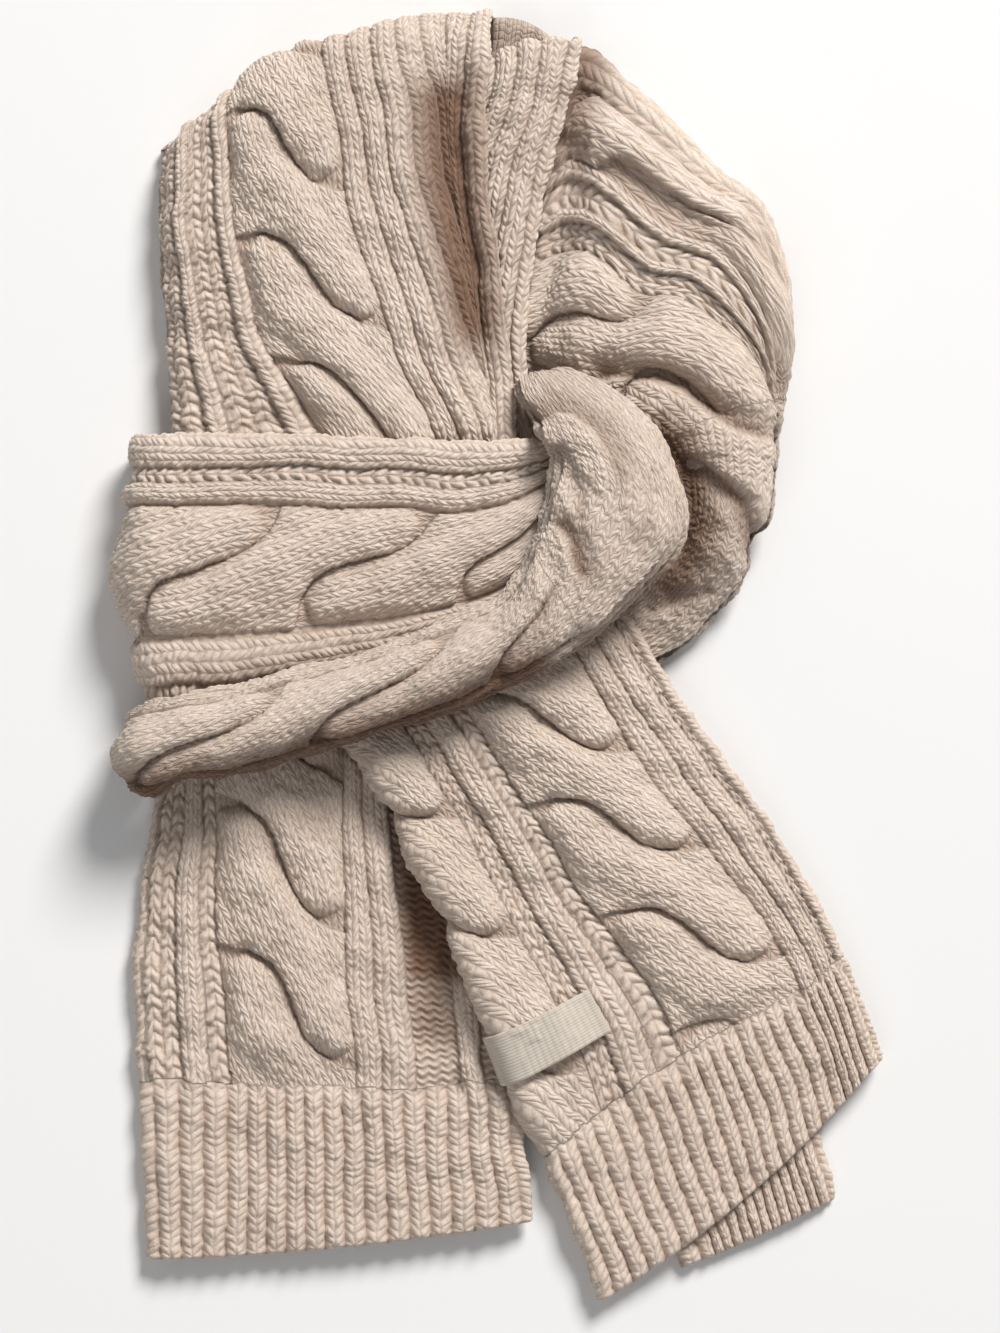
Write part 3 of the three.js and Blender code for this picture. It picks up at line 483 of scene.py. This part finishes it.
# %% [markdown]
# ## The knitted pattern
#
# Three fabrics make this strip: rope cables whose two strands cross in long S shapes, bands of
# ribs with moss stitch in their valleys, and plain ribs at the hems. Each is a height over the
# plain surface, and each has its own count of stitches, because a cable's stitches follow the
# strand and not the strip.

# %% Cable strands
SLOPES = (7.5, 17.5)  # width of a strand's slope at the groove, where it lies over and under
DROPS = (0.34, 0.80)  # how much of its height it loses there
SHADOWS = (1.1, 4.0)  # width of the painted shadow line in the groove, on each of them
SIDE_SLOPE = 11.0  # width of the slope at the cable's side
TIP_SLOPE = 7.5  # and round a strand's tip
CROWN = 17.0  # half the width over which a strand is crowned


def cable_strands(side, along, width, turn):
    """Height of a cable from 0 to 1, painted shade of its groove, way across the strand, its number.

    The groove between two strands runs in an S across the cable, steeply at its ends. The old
    strand on its right ends there in a round tip, and the new one on its left starts in another.
    Early on the new strand lies under the old one, and later over it.
    """
    number = np.floor(along / turn)
    v = 2 * (along / turn - number) - 1  # from -1 to 1 along one crossing
    groove = 0.1 + 0.3 * v + np.where(v < 0, -0.8 * abs(v) ** 7, 1.2 * abs(v) ** 3.4)
    slope = (0.3 + np.where(v < 0, 5.6 * abs(v) ** 6, 4.1 * abs(v) ** 2.4)) * width / turn
    to_groove = abs(side - groove) * width / 2 / np.sqrt(1 + slope ** 2)
    to_side = (1 - abs(side)) * width / 2
    started = side < groove
    early = 1 - smooth_step(v, 0.0, 0.7)
    under = np.where(started, early, 1 - early)
    height = 1 - between(DROPS, under) * round_edge(to_groove, between(SLOPES, under))
    height *= 1 - round_edge(to_side, SIDE_SLOPE)
    tip = under * smooth_step(np.where(started, -side, side), 0.0, 0.3)
    to_tip = TIP - np.hypot(np.clip(TIP - to_groove, 0, None), np.clip(TIP - to_side, 0, None))
    hollow = tip * round_edge(to_tip, TIP_SLOPE)
    height *= 1 - 0.85 * hollow
    way = (v + 1) / 2 - started
    aside = (side - 0.6 * np.sin(math.pi / 2 * way)) * width / 2
    height *= 1 - 0.16 * smooth_step(abs(way), 0.3, 1.0)
    height *= 1 - 0.52 * np.clip(aside / CROWN, -1, 1) ** 2
    # painted shade: dark along the groove, and round the strands' tips in the return
    dark = 0.7 + 0.3 * smooth_step(v, -1.1, -0.6) * early
    meet = dark * np.exp(-(to_groove / between(SHADOWS, under)) ** 1.3) * smooth_step(to_side, 0.0, 4.0)
    return height, 0.9 * np.maximum(meet, hollow), aside, number + started


print("slopes in the groove", SLOPES, "mm wide")

# %% [markdown]
# A plain knit stitch looks like a V: two legs that lean outwards from the middle of the wale.
# One wave of height along each leg and one across it are enough for that, and they serve both
# the mesh and the material. The lean is counted into the rows, because cables have steeper
# stitches than hems.

# %% Stitches
LEANS = {"cable": 1.35, "rib": 1.05, "hem": 0.85, "beads": -0.6}  # how far a leg leans, in rows
STITCH_RISE = 0.7  # millimetres from the yarn's top to the hollow between stitches


def wobble(across, along, size, seed):
    """A smooth unevenness of about 1, with waves of a given size in millimetres."""
    rng = np.random.default_rng(abs(int(seed)))
    total = np.zeros_like(along)
    for angle, stretch, phase in rng.random((7, 3)) * (math.tau, 0.8, math.tau):
        wave = math.tau / (size * (0.6 + stretch))
        total += np.sin(wave * (across * math.cos(angle) + along * math.sin(angle)) + phase)
    return total / 2.0


def part(count):
    return count - np.floor(count)


def hump(way, power):
    """0 at both ends of a way from 0 to 1, and 1 in its middle. Takes arrays and shader values."""
    return 1 - abs(way * 2 - 1) ** power


def stitch_height(across, along):
    """Height from 0 to 1 in a V stitch, from the ways across and along it. Takes both kinds too."""
    from_middle = abs(across - 0.5) * 2
    return (hump(along, 2.4) * 0.75 + 0.25) * (hump(from_middle, 2.6) * 0.9 + 0.1)


def leaning_rows(wale, course, lean):
    return course + lean * abs(part(wale) - 0.5) * 2


def knit_stitch(wale, row):
    return stitch_height(part(wale), part(row))


print("heights along a leg", knit_stitch(np.full(5, 0.25), np.linspace(0, 1, 5)).round(2))

# %% [markdown]
# Beside the cable come columns of ribs and beads. They repeat outwards from its sides as far as
# the cloth goes. Where a section narrows, as over the back of the neck, the columns keep their
# width and run into the fold line, which looks more like knitting than columns that all shrink.

# %% The columns of the bands
FARTHEST = 140.0  # no stretch reaches farther from its cable than this
ROLLED_IN = 3.0  # cloth that the rolled edges take, over the width in plan


def band_columns(stretch):
    """The bands beside the cable as columns, each from, to and kind."""
    columns = []
    for sign, band in zip((-1, 1), stretch.get("bands", (ROPES, ROPES))):
        place = CABLE_WIDTH / 2 if "cables" in stretch else 0.0
        while place < FARTHEST:
            for kind, width in band:
                columns.append((*sorted((sign * place, sign * (place + width))), kind))
                place += width
    return columns


def even_ribs(stretch, across, along):
    """Counts the cloth beside the cable in real millimetres, from both sides of a fold line."""
    row = row_at(stretch["rows"], along)
    width = np.hypot(row["right_x"] - row["left_x"], row["right_y"] - row["left_y"]) + ROLLED_IN
    line = stretch["fold_line"]
    side = max(stretch["start"], CABLE_WIDTH / 2)
    share = share_at(stretch, row, across)
    from_right = stretch["end"] - (1 - share) * width
    from_cable = side + (share - share_at(stretch, row, np.full_like(along, side))) * width
    even = np.where(across < line, from_cable, from_right)
    return np.where(across < side, across, even) if line > side else from_right


print(len(band_columns(STRETCHES["tail_left"])), "columns beside the left tail's cable")

# %% [markdown]
# Each fabric now fills its own places in the cloth's values: a height in millimetres, the
# stitches' relief, how far they rise, their counts, and how much painted shade the hollows get.
# A rib is a dome with V stitches on it, a bead is a round bump in a valley, and purl is a wavy
# ridge.

# %% Ribs, beads and purl
BEAD_RISE = 1.6
BEAD_WIDTH = 6.3  # a wider column has two lines of beads
BEAD_ROWS = 1.7  # a bead is as high as this many stitches
PURL_RISE = 0.9
VALLEYS = {"beads": -0.7, "purl": -1.0, "groove": -0.8}  # their depths in millimetres


def fill(cloth, place, **values):
    for name, value in values.items():
        cloth[name][place] = value if np.isscalar(value) else value[place]


def fill_rib(cloth, place, way, wales, course, rib_rise, lean, flatness=2.4):
    wale = way * wales
    row = leaning_rows(wale, course, lean)
    dome = np.clip(hump(part(way), flatness), 0, 1) ** 0.6
    # the crease value is painted shade, darkest between the ribs
    fill(cloth, place, height=rib_rise * dome, relief=knit_stitch(wale, row), knit=1.0,
         rise=STITCH_RISE * (0.4 + 0.6 * dome), wale=wale, row=row, crease=0.85 * (1 - dome))


def fill_beads(cloth, place, way, lines, across, course, seed):
    line = way * lines
    uneven = 0.1 * wobble(across, course * COURSE, 13, seed)
    row = leaning_rows(line, course / BEAD_ROWS + 0.5 * np.floor(line) + uneven, LEANS["beads"])
    bead = 1 - (2 * part(row) - 1) ** 2 - 0.8 * (2 * part(line) - 1) ** 2
    bead = np.sqrt(np.clip(bead, 0, 1))
    # the crease value is painted shade round each bead
    fill(cloth, place, height=VALLEYS["beads"], relief=bead, rise=BEAD_RISE, wale=line, row=row,
         knit=1.0, crease=0.6 * (1 - bead))


def fill_bands(cloth, stretch, across, course):
    for start, end, kind in band_columns(stretch):
        place = (across >= start) & (across < end)
        way = (across - start) / (end - start)
        if kind == "rib":
            wales = max(round((end - start) / RIB_WALE), 1)
            fill_rib(cloth, place, way, wales, course, RIB_RISE, LEANS["rib"])
        elif kind == "beads":
            lines = max(round((end - start) / BEAD_WIDTH), 1)
            fill_beads(cloth, place, way, lines, across, course, start)
        elif kind == "purl":
            wale = across / WALE
            ridge = 0.5 + 0.5 * np.cos(2 * math.pi * (course + 0.22 * np.sin(2 * math.pi * wale)))
            # painted shade, darker between the purl ridges
            fill(cloth, place, height=VALLEYS[kind], relief=ridge, rise=PURL_RISE, wale=wale,
                 row=course, knit=0.0, crease=0.4 + 0.3 * (1 - ridge))
        else:
            # painted shade over the whole groove
            fill(cloth, place, height=VALLEYS[kind], relief=0.5, knit=0.0, rise=0.0, wale=way,
                 row=course, crease=0.7)


print("valleys", VALLEYS)

# %% [markdown]
# The cables go over the bands, and the hem grows out of both. Near the hem, and where a stretch
# is pulled smooth, the cables die away.

# %% Cables and hems
NEVER = 1000.0  # a place beyond the end of every stretch
FADE = 24.0  # the length over which a cable dies away


def fill_cables(cloth, stretch, across, along):
    plain_from = stretch.get("plain_from", NEVER)
    plain = smooth_step(along, plain_from, plain_from + FADE)
    hem = stretch.get("hem", NEVER)
    rise = CABLE_RISE * (1 - 0.9 * smooth_step(along, hem - FADE, hem + 6))
    for middle, width, start, turn in stretch.get("cables", []):
        side = (across - middle) / (width / 2)
        top, meet, aside, number = cable_strands(side, along - start, width, turn)
        top = top + (0.75 - top) * plain
        meet = meet * (1 - plain)
        edge = (1 - smooth_step(top, 0.0, 0.35)) * (1 - plain)
        wale = np.where(plain > 0.5, across, aside) / WALE + 0.5
        row = leaning_rows(wale, along / COURSE + 0.37 * number, LEANS["cable"])
        # the crease value is painted shade in the strands' groove and at the cable's sides
        fill(cloth, abs(side) < 1, height=rise * top - 0.6 * meet, relief=knit_stitch(wale, row),
             rise=STITCH_RISE * (0.5 + 0.5 * smooth_step(top, 0.1, 0.5)), wale=wale, row=row, knit=1.0,
             crease=np.maximum(meet, 0.6 * edge))


def fill_hem(cloth, stretch, across, along):
    """The hem's ribs, which grow out of the pattern over some rows."""
    body = {name: cloth[name].copy() for name in ("height", "crease")}
    way = across / stretch["hem_pitch"] + 0.5
    start = stretch["hem"] + 2.5 * np.sin(12.9 * np.floor(way))  # some ribs start sooner
    grown = smooth_step(along, start, start + 9)
    fill_rib(cloth, along > start, way, 1, along / COURSE, HEM_RISE, LEANS["hem"], 1.5)
    for name, before in body.items():
        cloth[name] = before + (cloth[name] - before) * grown


print("hems on", *(name for name, stretch in STRETCHES.items() if "hem" in stretch))

# %% [markdown]
# Real knitting is never even, so its wales and rows sway a little and the cloth swells here and
# there. Slow sine waves with fixed seeds do that, and give the same cloth on every run.

# %% The whole pattern
ACROSS_SWAY = [(0.5, 50, 1), (0.18, 9, 2)]  # amount, size of the waves and seed
ALONG_SWAY = [(0.8, 60, 3), (0.35, 10, 4)]
SWELL = [(0.5, 34, 5), (0.25, 7, 6), (0.08, 2.6, 7)]


def unevenness(across, along, waves):
    return sum(amount * wobble(across, along, size, seed) for amount, size, seed in waves)


def shade_at(stretch, across, along):
    """Painted shade from 0 to 1, where the cloth lies deep in a fold or under another layer."""
    shade = np.zeros_like(along)
    for low, high, start, end, amount, soft in stretch.get("shades", []):
        here = within(across, low, high, soft) * within(along, start, end, soft)
        shade = np.maximum(shade, amount * here)
    return shade


def knitting(stretch, across, along, plan):
    """Height in mm, stitch relief from 0 to 1, stitch counts, share of V stitches, painted shade of
    creases.
    """
    shade = shade_at(stretch, across, along)
    flat_until = stretch.get("flat_until", -NEVER)
    fade = 0.4 + 0.6 * smooth_step(along, flat_until - 50, flat_until)
    if "fold_line" in stretch:
        across = even_ribs(stretch, across, along)
    across = across + unevenness(across, along, ACROSS_SWAY)
    along = along + unevenness(across, along, ALONG_SWAY)
    cloth = {name: np.zeros_like(along) for name in "height relief rise wale row knit crease".split()}
    fill_bands(cloth, stretch, across, along / COURSE)
    fill_cables(cloth, stretch, across, along)
    if "hem" in stretch:
        fill_hem(cloth, stretch, across, along)
    cloth["across"] = across
    cloth["plain"] = cloth["height"] * fade + unevenness(across, along, SWELL)
    for crease in stretch.get("creases", []):
        depth, dark = crease_at(crease, plan)
        cloth["plain"] = cloth["plain"] + depth
        shade = np.maximum(shade, dark)
    cloth["shade"] = shade
    cloth["height"] = cloth["plain"] + cloth["rise"] * (cloth["relief"] - 0.6)
    return cloth


print("waves of the surface", SWELL)

# %% [markdown]
# ## Laying a piece of cloth
#
# Each piece starts as a flat grid from bmesh, as fine as a stitch needs, with a plainer grid
# behind it, bridged round the rim into one closed wall. Numpy then lays the grid's points on
# the surface. This keeps the lists of faces out of the script, and the piece closed.

# %% Grid, backing and rim
GRID = 0.75  # step of the fine face
BACK = 5  # the plain inner face is this many times coarser


def flat_cloth(name, columns, rows):
    """A closed flat wall from -0.5 to 0.5 both ways, with its fine face on top."""
    bm = bmesh.new()
    bmesh.ops.create_grid(bm, x_segments=columns * BACK, y_segments=rows * BACK, size=0.5)
    back = bmesh.ops.create_grid(bm, x_segments=columns, y_segments=rows, size=0.5)
    bmesh.ops.translate(bm, verts=back["verts"], vec=(0, 0, -0.01))
    bmesh.ops.bridge_loops(bm, edges=[edge for edge in bm.edges if edge.is_boundary])
    bmesh.ops.recalc_face_normals(bm, faces=bm.faces)
    mesh = bpy.data.meshes.new(name)
    bm.to_mesh(mesh)
    bm.free()
    return mesh


def read_points(mesh):
    points = np.empty(len(mesh.vertices) * 3, dtype=np.float32)
    mesh.vertices.foreach_get("co", points)
    return points.reshape(-1, 3).astype(float)


def write_value(mesh, name, values):
    mesh.attributes.new(name, "FLOAT", "POINT").data.foreach_set("value", values.astype(np.float32))


def write_stitches(mesh, wale, course):
    """A UV map that counts stitches across and along."""
    corners = np.empty(len(mesh.loops), dtype=np.int32)
    mesh.loops.foreach_get("vertex_index", corners)
    layer = mesh.uv_layers.new(name="stitches")
    layer.data.foreach_set("uv", np.column_stack([wale, course])[corners].astype(np.float32).ravel())


print("fine face", GRID, "mm, inner face", round(GRID * BACK, 2), "mm")

# %% [markdown]
# A lift says how far the two faces stand off the plain surface. The relief dies away where the
# cloth turns down towards the table, and the wall thins to a round edge at its rim.

# %% Laying the cloth
FACING_DOWN = 0.5  # the relief is gone where the cloth faces down as much as this
RIM = 0.6  # width of the round rim, in walls
RIM_LEFT = 0.25  # share of the wall that is left at the very edge
# painted shade on the inner face of each piece
BACK_SHADE = 0.3


def lay_cloth(name, stretch, across_range, along_range, spacing, wall, lift, pattern=knitting):
    """Makes a piece of cloth on a stretch. lift gives the offsets of its two faces."""
    sizes = [high - low for low, high in (across_range, along_range)]
    counts = [max(round(size / step / BACK), 2) for size, step in zip(sizes, spacing)]
    mesh = flat_cloth(name, *counts)
    flat = read_points(mesh)
    across = between(across_range, flat[:, 0] + 0.5)
    along = between(along_range, flat[:, 1] + 0.5)
    plain = cloth_point(stretch, across, along)
    knit = pattern(stretch, across, along, plain[:, :2])
    normal = cloth_normal(stretch, across, along)
    pressed = np.clip(1 + normal[:, 2] / FACING_DOWN, 0, 1)
    to_rim = np.minimum.reduce([across - across_range[0], across_range[1] - across,
                                along - along_range[0], along_range[1] - along])
    round_off = np.maximum(1 - round_edge(to_rim, RIM * wall), RIM_LEFT)
    top, under = lift(knit, pressed)
    centre = (top + under) / 2
    is_back = flat[:, 2] < -0.005
    offset = centre + (np.where(is_back, under, top) - centre) * round_off
    points = plain + normal * offset[:, None]
    points[:, 2] = np.maximum(points[:, 2], 0)
    points = (points - MIDDLE) * MM
    mesh.vertices.foreach_set("co", points.astype(np.float32).ravel())
    mesh.flip_normals()
    mesh.polygons.foreach_set("use_smooth", np.ones(len(mesh.polygons), dtype=bool))
    write_stitches(mesh, knit["wale"], knit["row"])
    write_value(mesh, "relief", np.where(is_back, 0.5, knit["relief"]))
    write_value(mesh, "knit", knit["knit"])
    write_value(mesh, "crease", np.where(is_back, 0.0, knit["crease"]))
    write_value(mesh, "shade", np.where(is_back, BACK_SHADE, knit["shade"]))
    mesh.update()
    return add_object(name, mesh)


print("rim of the cloth", round(RIM * WALL, 2), "mm wide")

# %% [markdown]
# ## Wool
#
# The yarn is a heather of cream, oatmeal and a little brown. Its colour comes from noise on the
# object's own coordinates, so it runs through every piece alike. The hollows between stitches
# get a painted shade of brown, and a sheen stands for the fuzz that catches the light.

# %% Shader helpers
class Value:
    """Wraps a socket, so that an expression on it adds the Math nodes."""

    def __init__(self, tree, socket):
        self.tree = tree
        self.socket = socket

    def math(self, operation, other=None, swapped=False, clamp=False):
        node = self.tree.nodes.new("ShaderNodeMath")
        node.operation = operation
        node.use_clamp = clamp
        terms = [self] if other is None else [other, self] if swapped else [self, other]
        for socket, term in zip(node.inputs, terms):
            put(self.tree, socket, term)
        return Value(self.tree, node.outputs[0])

    def __add__(self, other):
        return self.math("ADD", other)

    def __sub__(self, other):
        return self.math("SUBTRACT", other)

    def __rsub__(self, other):
        return self.math("SUBTRACT", other, swapped=True)

    def __mul__(self, other):
        return self.math("MULTIPLY", other)

    def __pow__(self, other):
        return self.math("POWER", other)

    def __abs__(self):
        return self.math("ABSOLUTE")

    def part(self):
        return self.math("FRACT")

    def kept(self):
        """The same value, cut off at 0 and 1."""
        return self.math("ADD", 0.0, clamp=True)


def put(tree, socket, term):
    """Links a value to a socket, or sets the socket to a number or colour."""
    if isinstance(term, Value):
        tree.links.new(term.socket, socket)
    else:
        socket.default_value = term


class Finish:
    """A material with its Principled shader and ways to add nodes."""

    def __init__(self, name, **constants):
        self.material = bpy.data.materials.new(name)
        self.material.use_nodes = True
        self.tree = self.material.node_tree
        self.shader = self.tree.nodes["Principled BSDF"]
        for socket, value in constants.items():
            self.shader.inputs[socket.replace("_", " ")].default_value = value

    def node(self, kind, output, settings=(), **values):
        node = self.tree.nodes.new(kind)
        for setting, value in dict(settings).items():
            setattr(node, setting, value)
        for socket, term in values.items():
            put(self.tree, node.inputs[socket.replace("_", " ")], term)
        return Value(self.tree, node.outputs[output])

    def mix(self, factor, a, b, blend="MIX"):
        node = self.tree.nodes.new("ShaderNodeMix")
        node.data_type = "RGBA"
        node.blend_type = blend
        for index, term in ((0, factor), (6, a), (7, b)):
            put(self.tree, node.inputs[index], term)
        return Value(self.tree, node.outputs[2])

    def noise(self, place, scale, detail, roughness=0.5):
        return self.node("ShaderNodeTexNoise", "Fac", Vector=place, Scale=scale, Detail=detail,
                         Roughness=roughness)

    def attribute(self, name):
        return self.node("ShaderNodeAttribute", "Fac", {"attribute_name": name})

    def stitches(self):
        """The counts of stitches across and along, from the UV map."""
        counts = self.node("ShaderNodeUVMap", "UV", {"uv_map": "stitches"})
        split = self.tree.nodes.new("ShaderNodeSeparateXYZ")
        put(self.tree, split.inputs[0], counts)
        return Value(self.tree, split.outputs[0]), Value(self.tree, split.outputs[1])

    def give(self, socket, term):
        put(self.tree, self.shader.inputs[socket], term)


print("helpers for shader values and finishes")

# %% [markdown]
# The wool's fine stitches are counted from the UV map, so that they stay sharp between the
# mesh's points. The painted shade of strand and rib hollows, and of places that lie deep, comes
# with the mesh.

# %% Wool finish
# The brown is both the yarn's own flecks and the painted shade in hollows and creases; the last colour
# tints the painted shade where the cloth lies deep.
CREAM = (0.86, 0.755, 0.665, 1.0)
OATMEAL = (0.64, 0.52, 0.43, 1.0)
BROWN = (0.36, 0.235, 0.17, 1.0)
PAINTED_SHADE = (0.33, 0.235, 0.185, 1.0)


def wool_finish():
    wool = Finish("wool", Roughness=0.9, Sheen_Weight=0.35, Sheen_Roughness=0.45,
                  Sheen_Tint=(1.0, 0.93, 0.85, 1.0), Specular_IOR_Level=0.2)
    place = wool.node("ShaderNodeTexCoord", "Object")
    wale, course = wool.stitches()
    relief = wool.attribute("relief")
    stitch = (stitch_height(wale.part(), course.part()) - relief) * wool.attribute("knit") + relief
    crease = wool.attribute("crease")
    fleck = wool.noise(place, 1100.0, 3.0, 0.7)
    patch = wool.noise(place, 160.0, 3.0, 0.6)
    broad = wool.noise(place, 18.0, 2.0)
    fibre = wool.noise(place, 3200.0, 4.0, 0.75)
    light = (fleck * 2.2 + patch * 1.3 + broad * 0.6 - 1.55).kept()
    colour = wool.mix(light, OATMEAL, CREAM)
    dark = ((0.42 - fleck) * 3.0).kept() * 0.4
    colour = wool.mix(dark, colour, BROWN)
    # painted shade: the stitch hollows and the crease values mix the colour towards brown
    hollow = ((1 - stitch) ** 1.6 * 0.36 + crease * 0.42).kept()
    colour = wool.mix(hollow, colour, BROWN)
    # painted shade: where the shade value is high, the colour is multiplied by a darker brown
    colour = wool.mix(wool.attribute("shade"), colour, wool.mix(1.0, colour, PAINTED_SHADE, "MULTIPLY"))
    wool.give("Base Color", colour)
    bump = wool.node("ShaderNodeBump", "Normal", Strength=0.9, Distance=0.0006,
                     Height=stitch + fleck * 0.5 + fibre * 0.35)
    wool.give("Normal", bump)
    return wool.material


WOOL = wool_finish()
print("wool", len(WOOL.node_tree.nodes), "nodes")

# %% [markdown]
# ## The stretches of the scarf
#
# Each stretch becomes a shell in its solid's place. A shell rides on the scarf's only body and
# stands for its node.

# %% Shells
HEMS = {"tail_left": ["hem_left"], "tail_right": ["hem_right"]}
ROLL_STEP = 1.8  # the roll's cloth is this much coarser across


def knit_lift(knit, pressed):
    return knit["height"] * pressed, np.full_like(pressed, -WALL)


def cloth_area(piece):
    """Half the surface of a closed wall, in square metres."""
    areas = np.empty(len(piece.data.polygons), dtype=np.float32)
    piece.data.polygons.foreach_get("area", areas)
    return float(areas.sum()) / 2


shells = {}
for name, stretch in STRETCHES.items():
    across_range = (stretch["start"] - stretch["tucks"][0], stretch["end"] + stretch["tucks"][1])
    along_range = (stretch["rows"][0][0], stretch["rows"][-1][0])
    spacing = (GRID * ROLL_STEP if name == "wrap_roll" else GRID, GRID)
    piece = lay_cloth(name + "_knit", stretch, across_range, along_range, spacing, WALL, knit_lift)
    piece.data.materials.append(WOOL)
    shells[name] = piece
    print(name, len(piece.data.vertices), "points,", round(cloth_area(piece) * 1e4), "cm2")

# %% [markdown]
# ## The covered layers
#
# Under the stretches that show lie the folded layers of the same strip. They are one solid in
# the frame. They could be modelled as cloth as well, but little of them is seen. So a copy of
# the solid, merged and drawn in a little, gets the same wool with a painted shade.

# %% Covered layers
UNDER_LAYERS = 0.0012  # how far they stay inside their solid
# painted shade: the covered layers get fixed crease and shade values that darken them
COVERED = {"relief": 0.5, "knit": 1.0, "crease": 0.4, "shade": 0.8}


def covered_layers():
    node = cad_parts["hidden_layers"]
    bm = bmesh.new()
    bm.from_mesh(node.data)
    bmesh.ops.remove_doubles(bm, verts=bm.verts, dist=1e-6)
    bmesh.ops.recalc_face_normals(bm, faces=bm.faces)
    bm.normal_update()
    for vert in bm.verts:
        vert.co -= vert.normal * UNDER_LAYERS
        vert.co.z = max(vert.co.z, 0.0)
    mesh = bpy.data.meshes.new("hidden_layers_knit")
    bm.to_mesh(mesh)
    bm.free()
    points = read_points(mesh)
    write_stitches(mesh, points[:, 0] / (WALE * MM), points[:, 1] / (COURSE * MM))
    for name, value in COVERED.items():
        write_value(mesh, name, np.full(len(points), value))
    mesh.materials.append(WOOL)
    return add_object("hidden_layers_knit", mesh)


shells["hidden_layers"] = covered_layers()
print("covered layers", len(shells["hidden_layers"].data.polygons), "faces")

# %% [markdown]
# ## The woven label
#
# A small folded tape is sewn round the fold of the right tail. It is laid on the tail's own
# surface, just above the stitches, and left bare. A flat card would cut through the cable.

# %% Label
LABEL_FROM, LABEL_LENGTH, LABEL_REACH, LABEL_TUCK = 162.0, 21.0, 38.0, 7.0
LABEL_LIFT, LABEL_THICK, LABEL_STEP = 0.5, 0.7, 0.6
LABEL_LEVELS = (7.5, 3.2)  # it stays above these, on the cable and on the band
LABEL_BEND, LABEL_SLOPE = -68.0, 18.0  # where and how fast it comes down between them
THREADS = (2.2, 3.0)  # its threads across and along, to one stitch of the wool
DULL, BRIGHT = (0.50, 0.44, 0.37, 1.0), (0.72, 0.66, 0.58, 1.0)


def tape_finish():
    tape = Finish("tape", Roughness=0.75, Sheen_Weight=0.1, Specular_IOR_Level=0.3)
    place = tape.node("ShaderNodeTexCoord", "Object")
    warp, weft = (hump((way * count).part(), 2.0) for way, count in zip(tape.stitches(), THREADS))
    patch = tape.noise(place, 300.0, 3.0)
    tape.give("Base Color", tape.mix((patch * 0.8 + warp * weft * 0.4).kept(), DULL, BRIGHT))
    bump = tape.node("ShaderNodeBump", "Normal", Strength=0.6, Distance=0.0002, Height=warp + weft)
    tape.give("Normal", bump)
    return tape.material


def label_lift(knit, pressed):
    level = between(LABEL_LEVELS, smooth_step(knit["across"], LABEL_BEND, LABEL_BEND + LABEL_SLOPE))
    under = np.maximum(knit["plain"], level) * pressed + LABEL_LIFT
    return under + LABEL_THICK, under


def woven(stretch, across, along, plan):
    """The knitting under the label, with the label's own straight threads over it."""
    threads = dict(wale=across / WALE, row=along / COURSE, crease=np.zeros_like(along))
    return {**knitting(stretch, across, along, plan), **threads}


tail = STRETCHES["tail_right"]
across_range = (tail["start"] - LABEL_TUCK, tail["start"] + LABEL_REACH)
along_range = (LABEL_FROM, LABEL_FROM + LABEL_LENGTH)
piece = lay_cloth("label_tape", tail, across_range, along_range, (LABEL_STEP, LABEL_STEP),
                  LABEL_THICK, label_lift, woven)
piece.data.materials.append(tape_finish())
shells["label"] = piece
print("label", len(piece.data.polygons), "faces")

# %% [markdown]
# ## Attaching the pieces
#
# Every piece rides on the scarf's one body and takes the place of its solids. Its flat size,
# what a knitter would cut, is worked out but not used: the length comes from its rows, and the
# width from half its surface, so it stays right when a table is changed. The last two pieces have
# their widths given.

# %% Attaching the pieces
FOLDED_WIDTH = 170.0  # the strip once it is folded lengthwise
LABEL_CUT = 23.4  # width of the label's tape
for name, piece in shells.items():
    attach(piece, "root")
    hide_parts(name, *HEMS.get(name, ()))
    "wool" if name in STRETCHES else "wool_inner" if name == "hidden_layers" else "label_tape"
    held = "laid" if name == "tail_under" else "folded"
    area = cloth_area(piece)
    if name in STRETCHES:
        length = (STRETCHES[name]["rows"][-1][0] - STRETCHES[name]["rows"][0][0]) * MM
    else:
        length = area / (FOLDED_WIDTH * MM) if name == "hidden_layers" else LABEL_CUT * MM
    area / length
print(len(shells), "pieces declared")

# %% [markdown]
# The floor is a plain matt sheet, half a millimetre under the scarf. It is only there to catch
# the shadows, and is no part of the scarf.

# %% Floor
floor_mesh = bpy.data.meshes.new("floor")
bm = bmesh.new()
bmesh.ops.create_grid(bm, x_segments=1, y_segments=1, size=4.0)
bmesh.ops.translate(bm, verts=bm.verts, vec=(0, 0, -0.0005))
bm.to_mesh(floor_mesh)
bm.free()
floor = add_object("floor", floor_mesh)
floor.data.materials.append(Finish("floor", Base_Color=(0.93, 0.94, 0.95, 1.0), Roughness=0.9).material)
print("floor", len(floor_mesh.polygons), "face")
